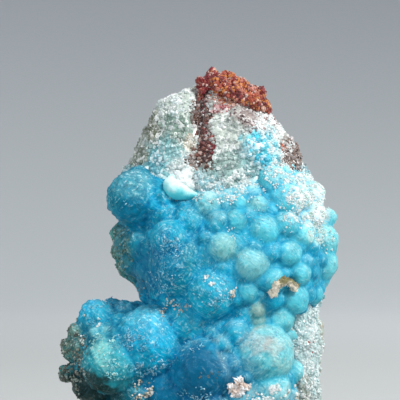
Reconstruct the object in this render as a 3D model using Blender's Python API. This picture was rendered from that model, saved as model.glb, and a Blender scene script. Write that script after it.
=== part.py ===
"""A hand specimen of blue hemimorphite on its host rock, with a rusty iron oxide crest.

The rock is a broken wedge. Hemimorphite grew over its front and round its left side as a crust of fused
balls, with a lobe that stands out low on the left. Iron oxide crystals cap the crest, and a few crumbs
of paler minerals sit on the crust.

Sizes are real sizes in millimetres, until a mesh is made from them. X runs to the right of the front
view, the front faces -Y, and Z is up. The origin lies on the flat cut that the specimen stands on.
"""

import math
from collections.abc import Callable
from typing import NamedTuple

import bmesh
import bpy
import numpy as np
from mathutils import Matrix, Vector, noise
from mathutils.bvhtree import BVHTree

MM = 0.001

# Driving dimensions
SEAM = 0.3  # clear gap between two minerals that touch
CHEST_HEIGHT = 35.0  # of the widest part of the crust above the cut
CHEST_WIDTH = 39.0
FOOT_HEIGHT = 12.0
LOBE_REACH = 21.0  # from the origin out to the middle of the left lobe
LOBE_HEIGHT = 15.5
GREAT_SINK = 0.45  # share of a ball's radius that its centre lies below what it grows on
SMALL_SINK = 0.3
SMALL_RADIUS = 3.3

# How finely each solid is made
CRUST_VOXEL = 0.55
ROCK_VOXEL = 0.7
CREST_VOXEL = 0.4
CRUMB_VOXEL = 0.3
CRUST_FACES = 5900
ROCK_FACES = 2100
CREST_FACES = 1000
KNOB_FACES = 180
CRUMB_FACES = 130
BALL_TURNS = 28
FAR = 80.0  # further out than any part of the specimen
RING_VARIETY = 0.5
WANDER_SHIFTS = (0.0, 31.7, 63.4)


class Ball(NamedTuple):
    """An ellipsoid: its centre and its three radii."""

    centre: Vector
    radii: Vector


class Bud(NamedTuple):
    """A ball seen from the front: where it stands, its radius or (wide, high) radii, and its depth.

    With no depth given it is set on whatever lies below it.
    """

    x: float
    z: float
    radius: float | tuple[float, float]
    depth: float | None = None


class Ring(NamedTuple):
    """A row of balls round an upright line through one mass: its height, radius, turn and step."""

    mass: str
    height: float
    radius: float
    first: float  # degrees, where 0 faces the front and 90 faces right
    last: float
    step: float


# The masses that the crust's balls grow on
MASSES = {
    "chest": Ball(Vector((-0.5, -3, CHEST_HEIGHT)), Vector((CHEST_WIDTH / 2, 13.0, 18.0))),
    "foot": Ball(Vector((-0.5, -2.5, FOOT_HEIGHT)), Vector((14.5, 13.0, 20.0))),
    "lobe": Ball(Vector((-LOBE_REACH, -3, LOBE_HEIGHT)), Vector((12.0, 9.8, 9.3))),
    "shoulder": Ball(Vector((-15.5, -1.5, 47)), Vector((8.0, 9.0, 6.6))),
    "flank": Ball(Vector((-13, 3.5, 40)), Vector((8.6, 8.5, 12.5))),
    "right_wall": Ball(Vector((9.5, -1.5, 47.5)), Vector((7.3, 9.3, 8.0))),
    "cheek": Ball(Vector((11.0, 1.0, 37)), Vector((9.0, 9.5, 11.0))),
}

# The great balls of the front come first, because the smaller ones sit on them
GREAT_BUDS = {
    "shoulder_ball": Bud(-19.9, 48.2, 6.0, -5.6),
    "chest_ball": Bud(-11.2, 35.0, (6.0, 7.4)),
    "waist_ball": Bud(-4.1, 29.0, 5.8),
    "hip_ball": Bud(-8.7, 22.4, 6.0),
    "lobe_ball": Bud(-17.0, 18.6, 7.5),
    "lobe_end_ball": Bud(-24.7, 14.1, 6.4),
    "foot_ball": Bud(-5.6, 12.8, 7.0),
    "pale_ball": Bud(6.2, 16.2, 6.6),
    "toe_left": Bud(-20.1, 8.2, 5.2),
    "toe_middle": Bud(-11.8, 8.3, 5.8),
    "toe_right": Bud(-3.5, 4.6, 5.2),
}

SHOULDER_BUDS = [
    Bud(-18.9, 52.4, 2.8, -4.0),
    Bud(-12.8, 39.8, 4.1),
    Bud(-8.7, 43.1, 3.5),
    Bud(-13.3, 44.5, 3.4),
    Bud(-23.6, 47.4, 2.5, -1.0),
]

# The shaded column under the shoulder, and the plate of crust that shows behind it
COLUMN_BUDS = [
    Bud(-18.4, 38.3, 3.5, -5.5),
    Bud(-17.0, 33.2, 3.0, -6.0),
    Bud(-15.3, 29.4, 2.6, -6.5),
    Bud(-21.4, 38.6, 3.2, -1.5),
    Bud(-20.2, 34.6, 3.0, -1.5),
    Bud(-23.1, 40.6, 2.4, 3.5),
    Bud(-22.8, 37.0, 2.4, 5.0),
    Bud(-21.7, 33.7, 2.5, 4.5),
    Bud(-19.0, 31.9, 2.5, 4.0),
]

# The bunch of small grapes right of the middle
GRAPE_BUDS = [
    Bud(-5.0, 46.6, 3.1),
    Bud(1.2, 46.8, 1.9),
    Bud(5.4, 46.4, 2.2),
    Bud(-2.9, 43.1, 2.5),
    Bud(1.0, 43.3, 2.5),
    Bud(6.2, 41.2, 3.5),
    Bud(-2.1, 38.1, 3.2),
    Bud(3.7, 34.8, 4.0),
    Bud(11.4, 36.7, 2.8),
    Bud(8.3, 31.4, 2.7),
    Bud(3.1, 28.8, 2.2),
    Bud(5.0, 25.7, 2.0),
    Bud(5.0, 23.2, 2.0),
    Bud(9.7, 23.6, 3.2),
    Bud(12.4, 27.6, 3.4),
    Bud(13.7, 32.7, 2.7),
    Bud(16.2, 28.4, 2.6, -4.5),
    Bud(0.6, 20.7, 3.0),
    Bud(-2.1, 18.2, 2.5),
    Bud(12.0, 20.0, 2.6),
    Bud(7.9, 9.3, 4.1),
    Bud(5.0, 4.6, 3.7),
    Bud(11.6, 5.2, 2.6),
    Bud(12.2, 12.6, 2.6),
]

# The right edge, from the blue run down the rock to the white balls and the cheek below them
CHEEK_BUDS = [
    Bud(18.1, 34.6, 3.9, -1.5),
    Bud(18.2, 39.2, 4.1, -1.0),
    Bud(19.9, 44.0, 2.1, 0.5),
    Bud(16.4, 48.7, 3.0, -2.5),
    Bud(16.2, 44.8, 3.2, -4.0),
    Bud(11.0, 47.7, 3.8),
    Bud(8.3, 51.8, 3.2),
    Bud(6.4, 55.9, 3.0, -6.0),
    Bud(11.0, 42.5, 2.9),
    Bud(14.1, 40.4, 2.7),
]

LOBE_BUDS = [
    Bud(-27.8, 23.2, 4.1, -4.0),
    Bud(-24.9, 24.4, 2.9, -0.5),
    Bud(-22.2, 23.0, 4.0, -2.5),
    Bud(-19.5, 24.1, 2.8, 0.0),
    Bud(-16.5, 22.9, 3.8, -2.0),
    Bud(-32.3, 17.2, 3.1, -3.0),
    Bud(-34.0, 11.8, 2.1, -2.0),
    Bud(-31.5, 20.4, 2.4, -4.0),
    Bud(-30.7, 8.9, 2.4, -3.0),
    Bud(-28.0, 7.3, 2.9, -4.5),
]

# Rows of balls where the front doesn't show: round the back of the lobe, the flank and the cheek
HIDDEN_RINGS = [
    Ring("lobe", 9.8, 3.2, 180, 285, 33),
    Ring("lobe", 15.5, 3.9, 150, 262, 33),
    Ring("lobe", 21.0, 3.4, 185, 270, 34),
    Ring("flank", 33.0, 3.0, 222, 282, 24),
    Ring("flank", 38.5, 3.3, 210, 262, 24),
    Ring("flank", 44.0, 3.1, 222, 290, 25),
    Ring("flank", 49.0, 2.5, 215, 275, 30),
    Ring("cheek", 30.5, 2.8, 75, 112, 26),
    Ring("cheek", 36.0, 3.0, 108, 135, 27),
    Ring("cheek", 41.5, 2.9, 96, 126, 26),
]

# The rock's broken blocks, by their corners
CORE_BLOCK = [
    (-13, -9, 50), (13, -9, 51), (16, -5, 34), (15, -7, 8), (15.5, -5, -3), (-9, -9, -3),
    (-11, -9, 30), (-15, 12, 52), (9, 13, 56), (17, 12, 38), (17.5, 10, 12), (17, 12, -3),
    (-12, 13, -3), (-17, 13, 36), (18.2, 2, 8), (18, 3, -3), (17, 2, 20), (18.8, 4, 46),
    (-18.6, 4, 43), (-15.5, 5, -3), (-16, 5, 22), (3, 16.5, 44), (0, 16.5, 14),
]
LEFT_BLOCK = [
    (-15.3, -2, 68.2), (-10.5, -2.5, 70.6), (-8.9, -2.5, 70.4), (-16.6, -3, 63.5), (-18, -3, 57.5),
    (-22.2, 0, 53), (-18, -7, 50), (-7, -9.5, 50), (-8.4, -6.2, 61), (-12, -6.5, 63),
    (-13.4, 7, 67), (-9, 9, 69.8), (-6.5, 8, 70.4), (-15.6, 9, 60), (-19.6, 9, 52), (-6, 13, 50),
    (-23, 5, 50.5), (-6.5, 1.5, 71),
]
RIGHT_BLOCK = [
    (-5.2, -2.2, 69.6), (-4, -2.4, 70.4), (1, -2.8, 69.4), (5, -2, 67.4), (7.2, -1.5, 65.6),
    (9.2, -1.5, 64.4), (10.2, -2, 61.5), (12.8, -2, 57), (15.4, -1, 52.5), (18.2, 0, 48.5),
    (-5.4, -6, 62), (5.5, -8.5, 60), (-6, -10, 50), (12, -9, 50), (-6.4, 1.5, 70.6), (-5, 7, 70),
    (1, 8, 69), (5.5, 8, 65.5), (8, 9, 61), (12.6, 9, 53), (17, 9, 48), (-6, 14, 48), (4, 5, 68.8),
]
BACK_SLABS = [
    [(-12, 11, 57), (-2, 13, 60), (4, 12, 47), (-14, 11, 44), (-9, 15.5, 52), (-1, 16.5, 50), (-6, 8, 50)],
    [(2, 14, 34), (15, 11, 36), (16, 10, 22), (1, 15, 18), (8, 18, 30), (11, 16.5, 22), (7, 8, 28)],
    [(-15, 10, 24), (-3, 14, 27), (-4, 13, 6), (-14, 11, 8), (-8, 17, 20), (-7, 16, 9), (-8, 8, 15)],
]
FACET = 7.0  # typical width of a broken face of the rock
FACET_STEP = 1.7  # height of the ledges between neighbouring faces
FACET_TILT = 0.9  # slope of the steepest faces
FRONT_SHARE = 0.4  # how rough the front of the peak is, against the back
FRONT_DEPTH = -3.0  # the front's roughness ends here, and the back's begins at BACK_DEPTH
BACK_DEPTH = 5.0
FADE_UNDER_CRUST = 0.125  # share of a ball, from its skin inwards, over which the rock turns smooth

# The iron oxide: each lump's middle and radius, in rows along the crest from left to right
CREST_LUMPS = [
    (-5.8, -1.0, 71.9, 2.1), (-3.9, 0.0, 72.9, 2.0), (-1.6, 0.2, 72.4, 2.1), (1.2, -0.2, 71.0, 2.4),
    (3.9, 0.0, 69.8, 2.2), (5.2, 0.4, 69.0, 2.1), (6.2, 1.0, 67.0, 1.8), (7.2, 1.5, 65.7, 1.4),
    (-2.4, -2.4, 70.9, 1.9), (-0.4, -3.2, 69.6, 2.0), (1.8, -3.4, 68.9, 2.0), (4.0, -3.0, 68.2, 2.0),
    (5.8, -1.9, 67.2, 2.0), (-4.6, 2.4, 71.2, 2.2), (-1.6, 2.6, 71.6, 2.3), (1.4, 2.8, 70.6, 2.4),
    (4.4, 3.0, 68.8, 2.3), (-3.0, 5.0, 69.8, 2.0), (0.4, 5.6, 69.2, 2.1), (3.6, 5.6, 67.8, 2.0),
    (1.0, 0.6, 68.6, 3.2), (-2.6, 1.0, 69.6, 3.0),
]
# and each lump's place on the front, and radius, down the groove below the crest
VEIN_LUMPS = [
    (-5.6, 71.2, 1.7), (-6.1, 69.4, 1.5), (-6.4, 67.6, 1.4), (-6.5, 65.8, 1.3), (-6.4, 64.2, 1.3),
    (-6.1, 62.6, 1.4), (-5.6, 61.0, 1.6), (-5.0, 59.3, 1.9), (-5.6, 57.4, 1.9), (-6.8, 56.0, 1.7),
    (-5.0, 55.9, 1.5),
]
CREST_GRAIN = 1.5
CREST_GRAIN_HEIGHT = 0.55
CREST_GRAIN_GROOVE = 0.6  # share of a grain that its groove takes
CREST_GRAIN_SUNK = 0.4  # share of the height that the grooves cut into the lumps

# Small pale minerals: where each of their balls sits on the front, and its three radii
PALE_KNOB = [
    (-11.0, 50.4, (2.7, 2.2, 2.0)), (-9.2, 49.0, (1.8, 1.6, 1.0)), (-10.0, 51.7, (1.7, 1.5, 1.3)),
    (-12.6, 51.8, (1.4, 1.3, 1.1)),
]
CREAM_ARCH = [
    (8.3, 28.9, (1.3, 1.3, 1.2)), (9.0, 30.3, (1.2, 1.2, 1.2)), (10.3, 31.2, (1.3, 1.3, 1.2)),
    (11.7, 30.9, (1.3, 1.3, 1.1)), (12.7, 29.9, (1.2, 1.3, 1.2)),
]
WHITE_SPUR = [
    (0.9, 8.4, (1.6, 1.5, 1.5)), (1.5, 9.9, (1.4, 1.4, 1.3)), (3.1, 9.6, (1.2, 1.2, 1.0)),
    (-0.6, 9.8, (1.1, 1.2, 0.9)), (1.6, 11.2, (1.0, 1.1, 1.0)),
]
PROUD = 0.25  # share of a small ball's depth that its centre stands off what it sits on

# Each mineral's colour and roughness
FINISHES = {
    "pale_rock": ((0.62, 0.66, 0.62, 1.0), 0.8),
    "iron_oxide": ((0.34, 0.09, 0.05, 1.0), 0.7),
    "blue_hemimorphite": ((0.03, 0.36, 0.58, 1.0), 0.35),
    "mint_hemimorphite": ((0.62, 0.88, 0.84, 1.0), 0.35),
    "calcite": ((0.78, 0.72, 0.58, 1.0), 0.6),
}


def clear_scene() -> None:
    """Removes whatever the scene starts with."""
    for old in list(bpy.data.objects):
        bpy.data.objects.remove(old, do_unlink=True)


def finish(name: str) -> bpy.types.Material:
    """A Principled material in the mineral's own colour."""
    colour, roughness = FINISHES[name]
    made = bpy.data.materials.new(name)
    made.use_nodes = True
    shader = made.node_tree.nodes["Principled BSDF"]
    shader.inputs["Base Color"].default_value = colour
    shader.inputs["Roughness"].default_value = roughness
    shader.inputs["Metallic"].default_value = 0.0
    return made


def meeting(ball: Ball, start: Vector, way: Vector) -> float:
    """How far from start, along way, the line first meets the ball, or infinity where it misses."""
    at = Vector([a / r for a, r in zip(start - ball.centre, ball.radii)])
    along = Vector([a / r for a, r in zip(way, ball.radii)])
    a, b, c = along.dot(along), at.dot(along), at.dot(at) - 1
    inside = b * b - a * c
    return (-b - math.sqrt(inside)) / a if inside > 0 else math.inf


def ground(balls: list[Ball], start: Vector, way: Vector) -> Vector:
    """The first point of the balls on a line from start along way."""
    return start + way * min(meeting(ball, start, way) for ball in balls)


def sunk(radius: float) -> float:
    """How far below the ground the centre of a ball of this radius lies."""
    return radius * (SMALL_SINK if radius < SMALL_RADIUS else GREAT_SINK)


def bud_ball(balls: list[Ball], bud: Bud) -> Ball:
    """The ball of a bud, set on the balls that are there already."""
    wide, high = bud.radius if isinstance(bud.radius, tuple) else (bud.radius, bud.radius)
    deep = (wide + high) / 2
    depth = bud.depth
    if depth is None:
        depth = ground(balls, Vector((bud.x, -FAR, bud.z)), Vector((0, 1, 0))).y + sunk(deep)
    return Ball(Vector((bud.x, depth, bud.z)), Vector((wide, deep, high)))


def wander(point: Vector) -> Vector:
    """Smooth noise in three directions, each between -1 and 1."""
    return Vector([noise.noise(point + Vector((shift, 0, 0))) for shift in WANDER_SHIFTS])


def ring_balls(ring: Ring) -> list[Ball]:
    """The balls of a row round the hidden side of a mass, uneven in size and in height."""
    mass = MASSES[ring.mass]
    made = []
    turn = ring.first
    while turn <= ring.last:
        chance = wander(Vector((turn / 20, ring.height / 7, ring.radius)))
        angle = math.radians(turn + ring.step / 2 * chance.x)
        out = Vector((math.sin(angle), -math.cos(angle), 0))
        start = Vector((mass.centre.x, mass.centre.y, ring.height + ring.radius * chance.y)) + out * FAR
        radius = ring.radius * (1 + RING_VARIETY * chance.z)
        made.append(Ball(ground([mass], start, -out) - out * sunk(radius), Vector((radius,) * 3)))
        turn += ring.step
    return made


def crust_balls() -> list[Ball]:
    """Every ball of the crust, the masses first."""
    balls = list(MASSES.values())
    for buds in (GREAT_BUDS.values(), SHOULDER_BUDS, COLUMN_BUDS, GRAPE_BUDS, CHEEK_BUDS, LOBE_BUDS):
        for bud in buds:
            balls.append(bud_ball(balls, bud))
    for ring in HIDDEN_RINGS:
        balls.extend(ring_balls(ring))
    return balls


def object_of(name: str, mesh: bpy.types.Mesh) -> bpy.types.Object:
    """An object of that name and mesh, in the scene."""
    made = bpy.data.objects.new(name, mesh)
    bpy.context.scene.collection.objects.link(made)
    return made


def mesh_of(bm: bmesh.types.BMesh, name: str) -> bpy.types.Mesh:
    """A mesh with what the bmesh holds, its faces pointing out."""
    mesh = bpy.data.meshes.new(name)
    bmesh.ops.recalc_face_normals(bm, faces=bm.faces)
    bm.to_mesh(mesh)
    bm.free()
    return mesh


def mesh_of_balls(balls: list[Ball], name: str) -> bpy.types.Mesh:
    """One mesh with every ball in it, each still a body of its own."""
    bm = bmesh.new()
    bmesh.ops.create_uvsphere(bm, u_segments=BALL_TURNS, v_segments=BALL_TURNS // 2, radius=1)
    unit = np.array([vertex.co[:] for vertex in bm.verts])
    faces = [[vertex.index for vertex in face.verts] for face in bm.faces]
    bm.free()
    points = [unit * np.array(ball.radii) + np.array(ball.centre) for ball in balls]
    copies = [[i + len(unit) * n for i in face] for n in range(len(balls)) for face in faces]
    mesh = bpy.data.meshes.new(name)
    mesh.from_pydata(np.concatenate(points) * MM, [], copies)
    return mesh


def mesh_of_blocks(blocks: list[list[tuple[float, float, float]]], name: str) -> bpy.types.Mesh:
    """One mesh with a convex block round each list of corners, each still a body of its own."""
    bm = bmesh.new()
    for corners in blocks:
        points = [bm.verts.new(Vector(corner) * MM) for corner in corners]
        made = bmesh.ops.convex_hull(bm, input=points)
        inner = made["geom_interior"] + made["geom_unused"]
        inner_points = {point for point in inner if isinstance(point, bmesh.types.BMVert)}
        bmesh.ops.delete(bm, geom=list(inner_points), context="VERTS")
    return mesh_of(bm, name)


def settle(thing: bpy.types.Object) -> None:
    """Makes what the object's modifiers give its own mesh, and drops the modifiers."""
    bpy.context.view_layer.update()
    graph = bpy.context.evaluated_depsgraph_get()
    mesh = bpy.data.meshes.new_from_object(thing.evaluated_get(graph), depsgraph=graph)
    thing.modifiers.clear()
    thing.data = mesh


def fuse(thing: bpy.types.Object, voxel: float) -> None:
    """Fuses the object's overlapping bodies into one skin of even faces."""
    modifier = thing.modifiers.new("fuse", "REMESH")
    modifier.mode = "VOXEL"
    modifier.voxel_size = voxel * MM
    settle(thing)


def thin_out(thing: bpy.types.Object, faces: int) -> None:
    """Brings the object down to about this many triangles, keeping them where the shape turns."""
    triangles = sum(len(face.vertices) - 2 for face in thing.data.polygons)
    modifier = thing.modifiers.new("thin", "DECIMATE")
    modifier.ratio = min(1.0, faces / triangles)
    modifier.use_collapse_triangulate = True
    settle(thing)


def cut(thing: bpy.types.Object, *cutters: bpy.types.Object) -> None:
    """Takes each cutter's shape out of the object."""
    for cutter in cutters:
        modifier = thing.modifiers.new(cutter.name, "BOOLEAN")
        modifier.operation = "DIFFERENCE"
        modifier.solver = "EXACT"
        modifier.use_self = True
        modifier.object = cutter
        settle(thing)


def hide(helper: bpy.types.Object) -> bpy.types.Object:
    """Marks the object as a helper, which isn't part of the specimen."""
    helper.hide_render = True
    helper.display_type = "WIRE"
    return helper


def cutter_round(thing: bpy.types.Object) -> bpy.types.Object:
    """A hidden copy of the object, one seam larger all round, to cut its neighbours with."""
    copy = object_of(thing.name + "_cutter", thing.data.copy())
    modifier = copy.modifiers.new("swell", "DISPLACE")
    modifier.mid_level = 0.0
    modifier.strength = SEAM * MM
    return hide(copy)


def slab_below() -> bpy.types.Object:
    """A hidden slab under the plane of the flat cut."""
    bm = bmesh.new()
    size = 2 * FAR * MM
    bmesh.ops.create_cube(bm, size=size, matrix=Matrix.Translation((0, 0, -size / 2)))
    return hide(object_of("slab_below", mesh_of(bm, "slab_below")))


def bareness(points: np.ndarray, balls: list[Ball]) -> np.ndarray:
    """For each point, 1 where no ball of the crust covers it, falling to 0 a little way inside one."""
    cover = np.full(len(points), -1.0)
    for ball in balls:
        ratio = (points - np.array(ball.centre)) / np.array(ball.radii)
        cover = np.maximum(cover, 1 - np.linalg.norm(ratio, axis=1))
    return np.clip(1 - cover / FADE_UNDER_CRUST, 0, 1)


def coordinates(mesh: bpy.types.Mesh) -> np.ndarray:
    """The mesh's points in millimetres, one row each."""
    flat = np.empty(3 * len(mesh.vertices))
    mesh.vertices.foreach_get("co", flat)
    return flat.reshape(-1, 3) / MM


def roughness_share(points: np.ndarray, balls: list[Ball]) -> np.ndarray:
    """How rough the rock is at each point: 0 under the crust, less on the front than on the back."""
    toward_back = np.clip((points[:, 1] - FRONT_DEPTH) / (BACK_DEPTH - FRONT_DEPTH), 0, 1)
    return bareness(points, balls) * (FRONT_SHARE + (1 - FRONT_SHARE) * toward_back)


def facet_height(point: Vector) -> float:
    """The rise of a rock broken into flat faces: each face has its own height and its own tilt."""
    heart = noise.voronoi(point / FACET)[1][0]
    tilt = wander(heart * 5.3)
    return FACET_STEP * noise.noise(heart * 3.7) + FACET_TILT * tilt.dot(point - heart * FACET)


def grain_height(point: Vector) -> float:
    """The rise of a mass of crystals: a tip in the middle of each grain, and a groove round it."""
    near, beyond = noise.voronoi(point / CREST_GRAIN)[0][:2]
    return CREST_GRAIN_HEIGHT * (min((beyond - near) / CREST_GRAIN_GROOVE, 1) - CREST_GRAIN_SUNK)


def raise_surface(
    thing: bpy.types.Object, rise: Callable[[Vector], float], share: np.ndarray | None = None
) -> None:
    """Moves each point of the object out along its normal by rise(point), times its share."""
    for index, vertex in enumerate(thing.data.vertices):
        part = 1.0 if share is None else share[index]
        if part > 0:
            vertex.co += vertex.normal * (MM * part * rise(vertex.co / MM))


def host_rock(balls: list[Ball], below: bpy.types.Object) -> bpy.types.Object:
    """The broken wedge of rock: fused blocks, faceted where no crust covers them, flat below."""
    blocks = [CORE_BLOCK, LEFT_BLOCK, RIGHT_BLOCK, *BACK_SLABS]
    rock = object_of("host_rock", mesh_of_blocks(blocks, "host_rock"))
    fuse(rock, ROCK_VOXEL)
    raise_surface(rock, facet_height, roughness_share(coordinates(rock.data), balls))
    fuse(rock, ROCK_VOXEL)
    thin_out(rock, ROCK_FACES)
    cut(rock, below)
    dress(rock, "pale_rock")
    return rock


def crust_blank(balls: list[Ball]) -> bpy.types.Object:
    """The crust's fused balls, before the rock and the flat cut are taken out of them."""
    blank = object_of("crust_blank", mesh_of_balls(balls, "crust_blank"))
    fuse(blank, CRUST_VOXEL)
    thin_out(blank, CRUST_FACES)
    return hide(blank)


def hemimorphite_crust(blank: bpy.types.Object, *cutters: bpy.types.Object) -> bpy.types.Object:
    """The blue crust, hollowed where the rock lies and cut flat below."""
    crust = object_of("hemimorphite_crust", blank.data.copy())
    cut(crust, *cutters)
    dress(crust, "blue_hemimorphite")
    return crust


def iron_oxide_crest(rock: bpy.types.Object, cutter: bpy.types.Object) -> bpy.types.Object:
    """The rusty cap of crystals along the crest of the rock, and the tongue of them down its groove."""
    lumps = [Ball(Vector((x, y, z)), Vector((radius,) * 3)) for x, y, z, radius in CREST_LUMPS]
    for x, z, radius in VEIN_LUMPS:
        lumps.append(Ball(resting_point(x, z, [rock]), Vector((radius,) * 3)))
    crest = object_of("iron_oxide_crest", mesh_of_balls(lumps, "iron_oxide_crest"))
    fuse(crest, CREST_VOXEL)
    raise_surface(crest, grain_height)
    fuse(crest, CREST_VOXEL)
    thin_out(crest, CREST_FACES)
    cut(crest, cutter)
    dress(crest, "iron_oxide")
    return crest


def resting_point(x: float, z: float, things: list[bpy.types.Object]) -> Vector:
    """The first point of the things that is met from the front, at that width and height."""
    bpy.context.view_layer.update()
    graph = bpy.context.evaluated_depsgraph_get()
    start = Vector((x, -FAR, z)) * MM
    hits = [BVHTree.FromObject(thing, graph).ray_cast(start, Vector((0, 1, 0)))[0] for thing in things]
    return min([hit / MM for hit in hits if hit], key=lambda point: point.y)


def crumb(name: str, mineral: str, lumps: list, faces: int, *cutters: bpy.types.Object) -> bpy.types.Object:
    """A small mineral of a few fused balls, set on the cutters' surfaces and cut by them."""
    balls = []
    for x, z, radii in lumps:
        stand = resting_point(x, z, cutters) - Vector((0, PROUD * radii[1], 0))
        balls.append(Ball(stand, Vector(radii)))
    made = object_of(name, mesh_of_balls(balls, name))
    fuse(made, CRUMB_VOXEL)
    thin_out(made, faces)
    cut(made, *cutters)
    dress(made, mineral)
    return made


def dress(thing: bpy.types.Object, mineral: str) -> None:
    """Gives the object its mineral's material."""
    thing.data.materials.clear()
    thing.data.materials.append(finish(mineral))


def main() -> None:
    """Builds the specimen."""
    clear_scene()
    below = slab_below()
    balls = crust_balls()
    rock = host_rock(balls, below)
    rock_cutter = cutter_round(rock)
    blank = crust_blank(balls)
    crust_cutter = cutter_round(blank)
    hemimorphite_crust(blank, below, rock_cutter)
    iron_oxide_crest(rock, rock_cutter)
    crumb("pale_knob", "mint_hemimorphite", PALE_KNOB, KNOB_FACES, rock_cutter, crust_cutter)
    crumb("cream_calcite_arch", "calcite", CREAM_ARCH, CRUMB_FACES, crust_cutter)
    crumb("white_calcite_spur", "calcite", WHITE_SPUR, CRUMB_FACES, crust_cutter)


main()
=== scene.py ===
"""A hand specimen of blue hemimorphite on its host rock, dressed for a plain studio picture.

The solids give the specimen's sizes. Here each mineral gets its fine surface: the fused balls of the
crust with their silky skin, the sugary rock, the rusty crystals of the crest, and the small crystals,
chips and crumbs that lie on them. Lengths are in millimetres until a mesh is made, X runs right in the
front view, the front faces -Y and Z is up.
"""

import itertools
import logging
import math
from collections.abc import Iterable
from dataclasses import dataclass, field
from enum import Enum

import bmesh
import bpy
import numpy as np
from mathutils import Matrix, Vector, noise


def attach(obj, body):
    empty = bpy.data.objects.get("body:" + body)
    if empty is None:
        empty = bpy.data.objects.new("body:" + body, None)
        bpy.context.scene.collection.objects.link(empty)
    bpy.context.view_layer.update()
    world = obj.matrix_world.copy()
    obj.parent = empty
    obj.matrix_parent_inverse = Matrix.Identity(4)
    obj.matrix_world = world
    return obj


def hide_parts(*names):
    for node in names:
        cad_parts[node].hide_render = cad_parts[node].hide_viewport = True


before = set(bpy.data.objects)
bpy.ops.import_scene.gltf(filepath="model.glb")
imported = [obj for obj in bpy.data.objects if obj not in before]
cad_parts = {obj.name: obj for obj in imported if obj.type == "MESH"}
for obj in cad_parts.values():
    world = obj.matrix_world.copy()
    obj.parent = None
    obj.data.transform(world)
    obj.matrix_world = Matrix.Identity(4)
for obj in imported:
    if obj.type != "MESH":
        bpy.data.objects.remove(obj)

Array = np.ndarray
Colour = tuple[int, int, int]  # screen values from 0 to 255
Triple = tuple[float, float, float]  # light values, lengths or angles
log = logging.getLogger("specimen")

MM = 0.001
FAR = 80.0  # further out than any part of the specimen
TINY = 1e-9  # a row shorter than this has no direction
SQUEEZE = (0.6, 1.1)  # how narrow or wide a crystal is one way, as a share of the other
BODY = "root"
PICTURE_SCALE = 4.83  # pixels to a millimetre
MIDDLE_COLUMN = 232  # the picture's column that shows X = 0
GROUND_ROW = 430  # and the row, below the picture, that shows Z = 0


def linear(red: float, green: float, blue: float) -> Array:
    """A colour given as screen values from 0 to 255, as the light values that shaders take.

    Args:
        red: the red screen value.
        green: the green screen value.
        blue: the blue screen value.

    Returns:
        The three values, each raised by the screen's curve.
    """
    share = np.array([red, green, blue]) / 255
    return np.where(share > 0.04045, ((share + 0.055) / 1.055) ** 2.4, share / 12.92)


def palette(colours: Iterable[Colour]) -> Array:
    """The light values of several screen colours, one row each."""
    return np.array([linear(*colour) for colour in colours])


def blended(first: Array, second: Array, share: Array) -> Array:
    """Lays light values over others: the first times what the share leaves, plus the second's share.

    Args:
        first: the light values below.
        second: the light values that go over them.
        share: the second's share, one row for each point.

    Returns:
        The blended light values.
    """
    return first * (1 - share) + second * share


def ramp(values: Array, low: float, high: float) -> Array:
    """Rises smoothly from 0 at low to 1 at high: three times the square less twice the cube.

    Args:
        values: the numbers to map.
        low: where the result is 0.
        high: where the result is 1; it may be below low, and then the result falls.

    Returns:
        The mapped numbers, each from 0 to 1.
    """
    share = np.clip((values - low) / (high - low), 0, 1)
    return share * share * (3 - 2 * share)


def units(rows: Array) -> Array:
    """Each row brought to length 1."""
    return rows / np.maximum(np.linalg.norm(rows, axis=1, keepdims=True), TINY)


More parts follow.
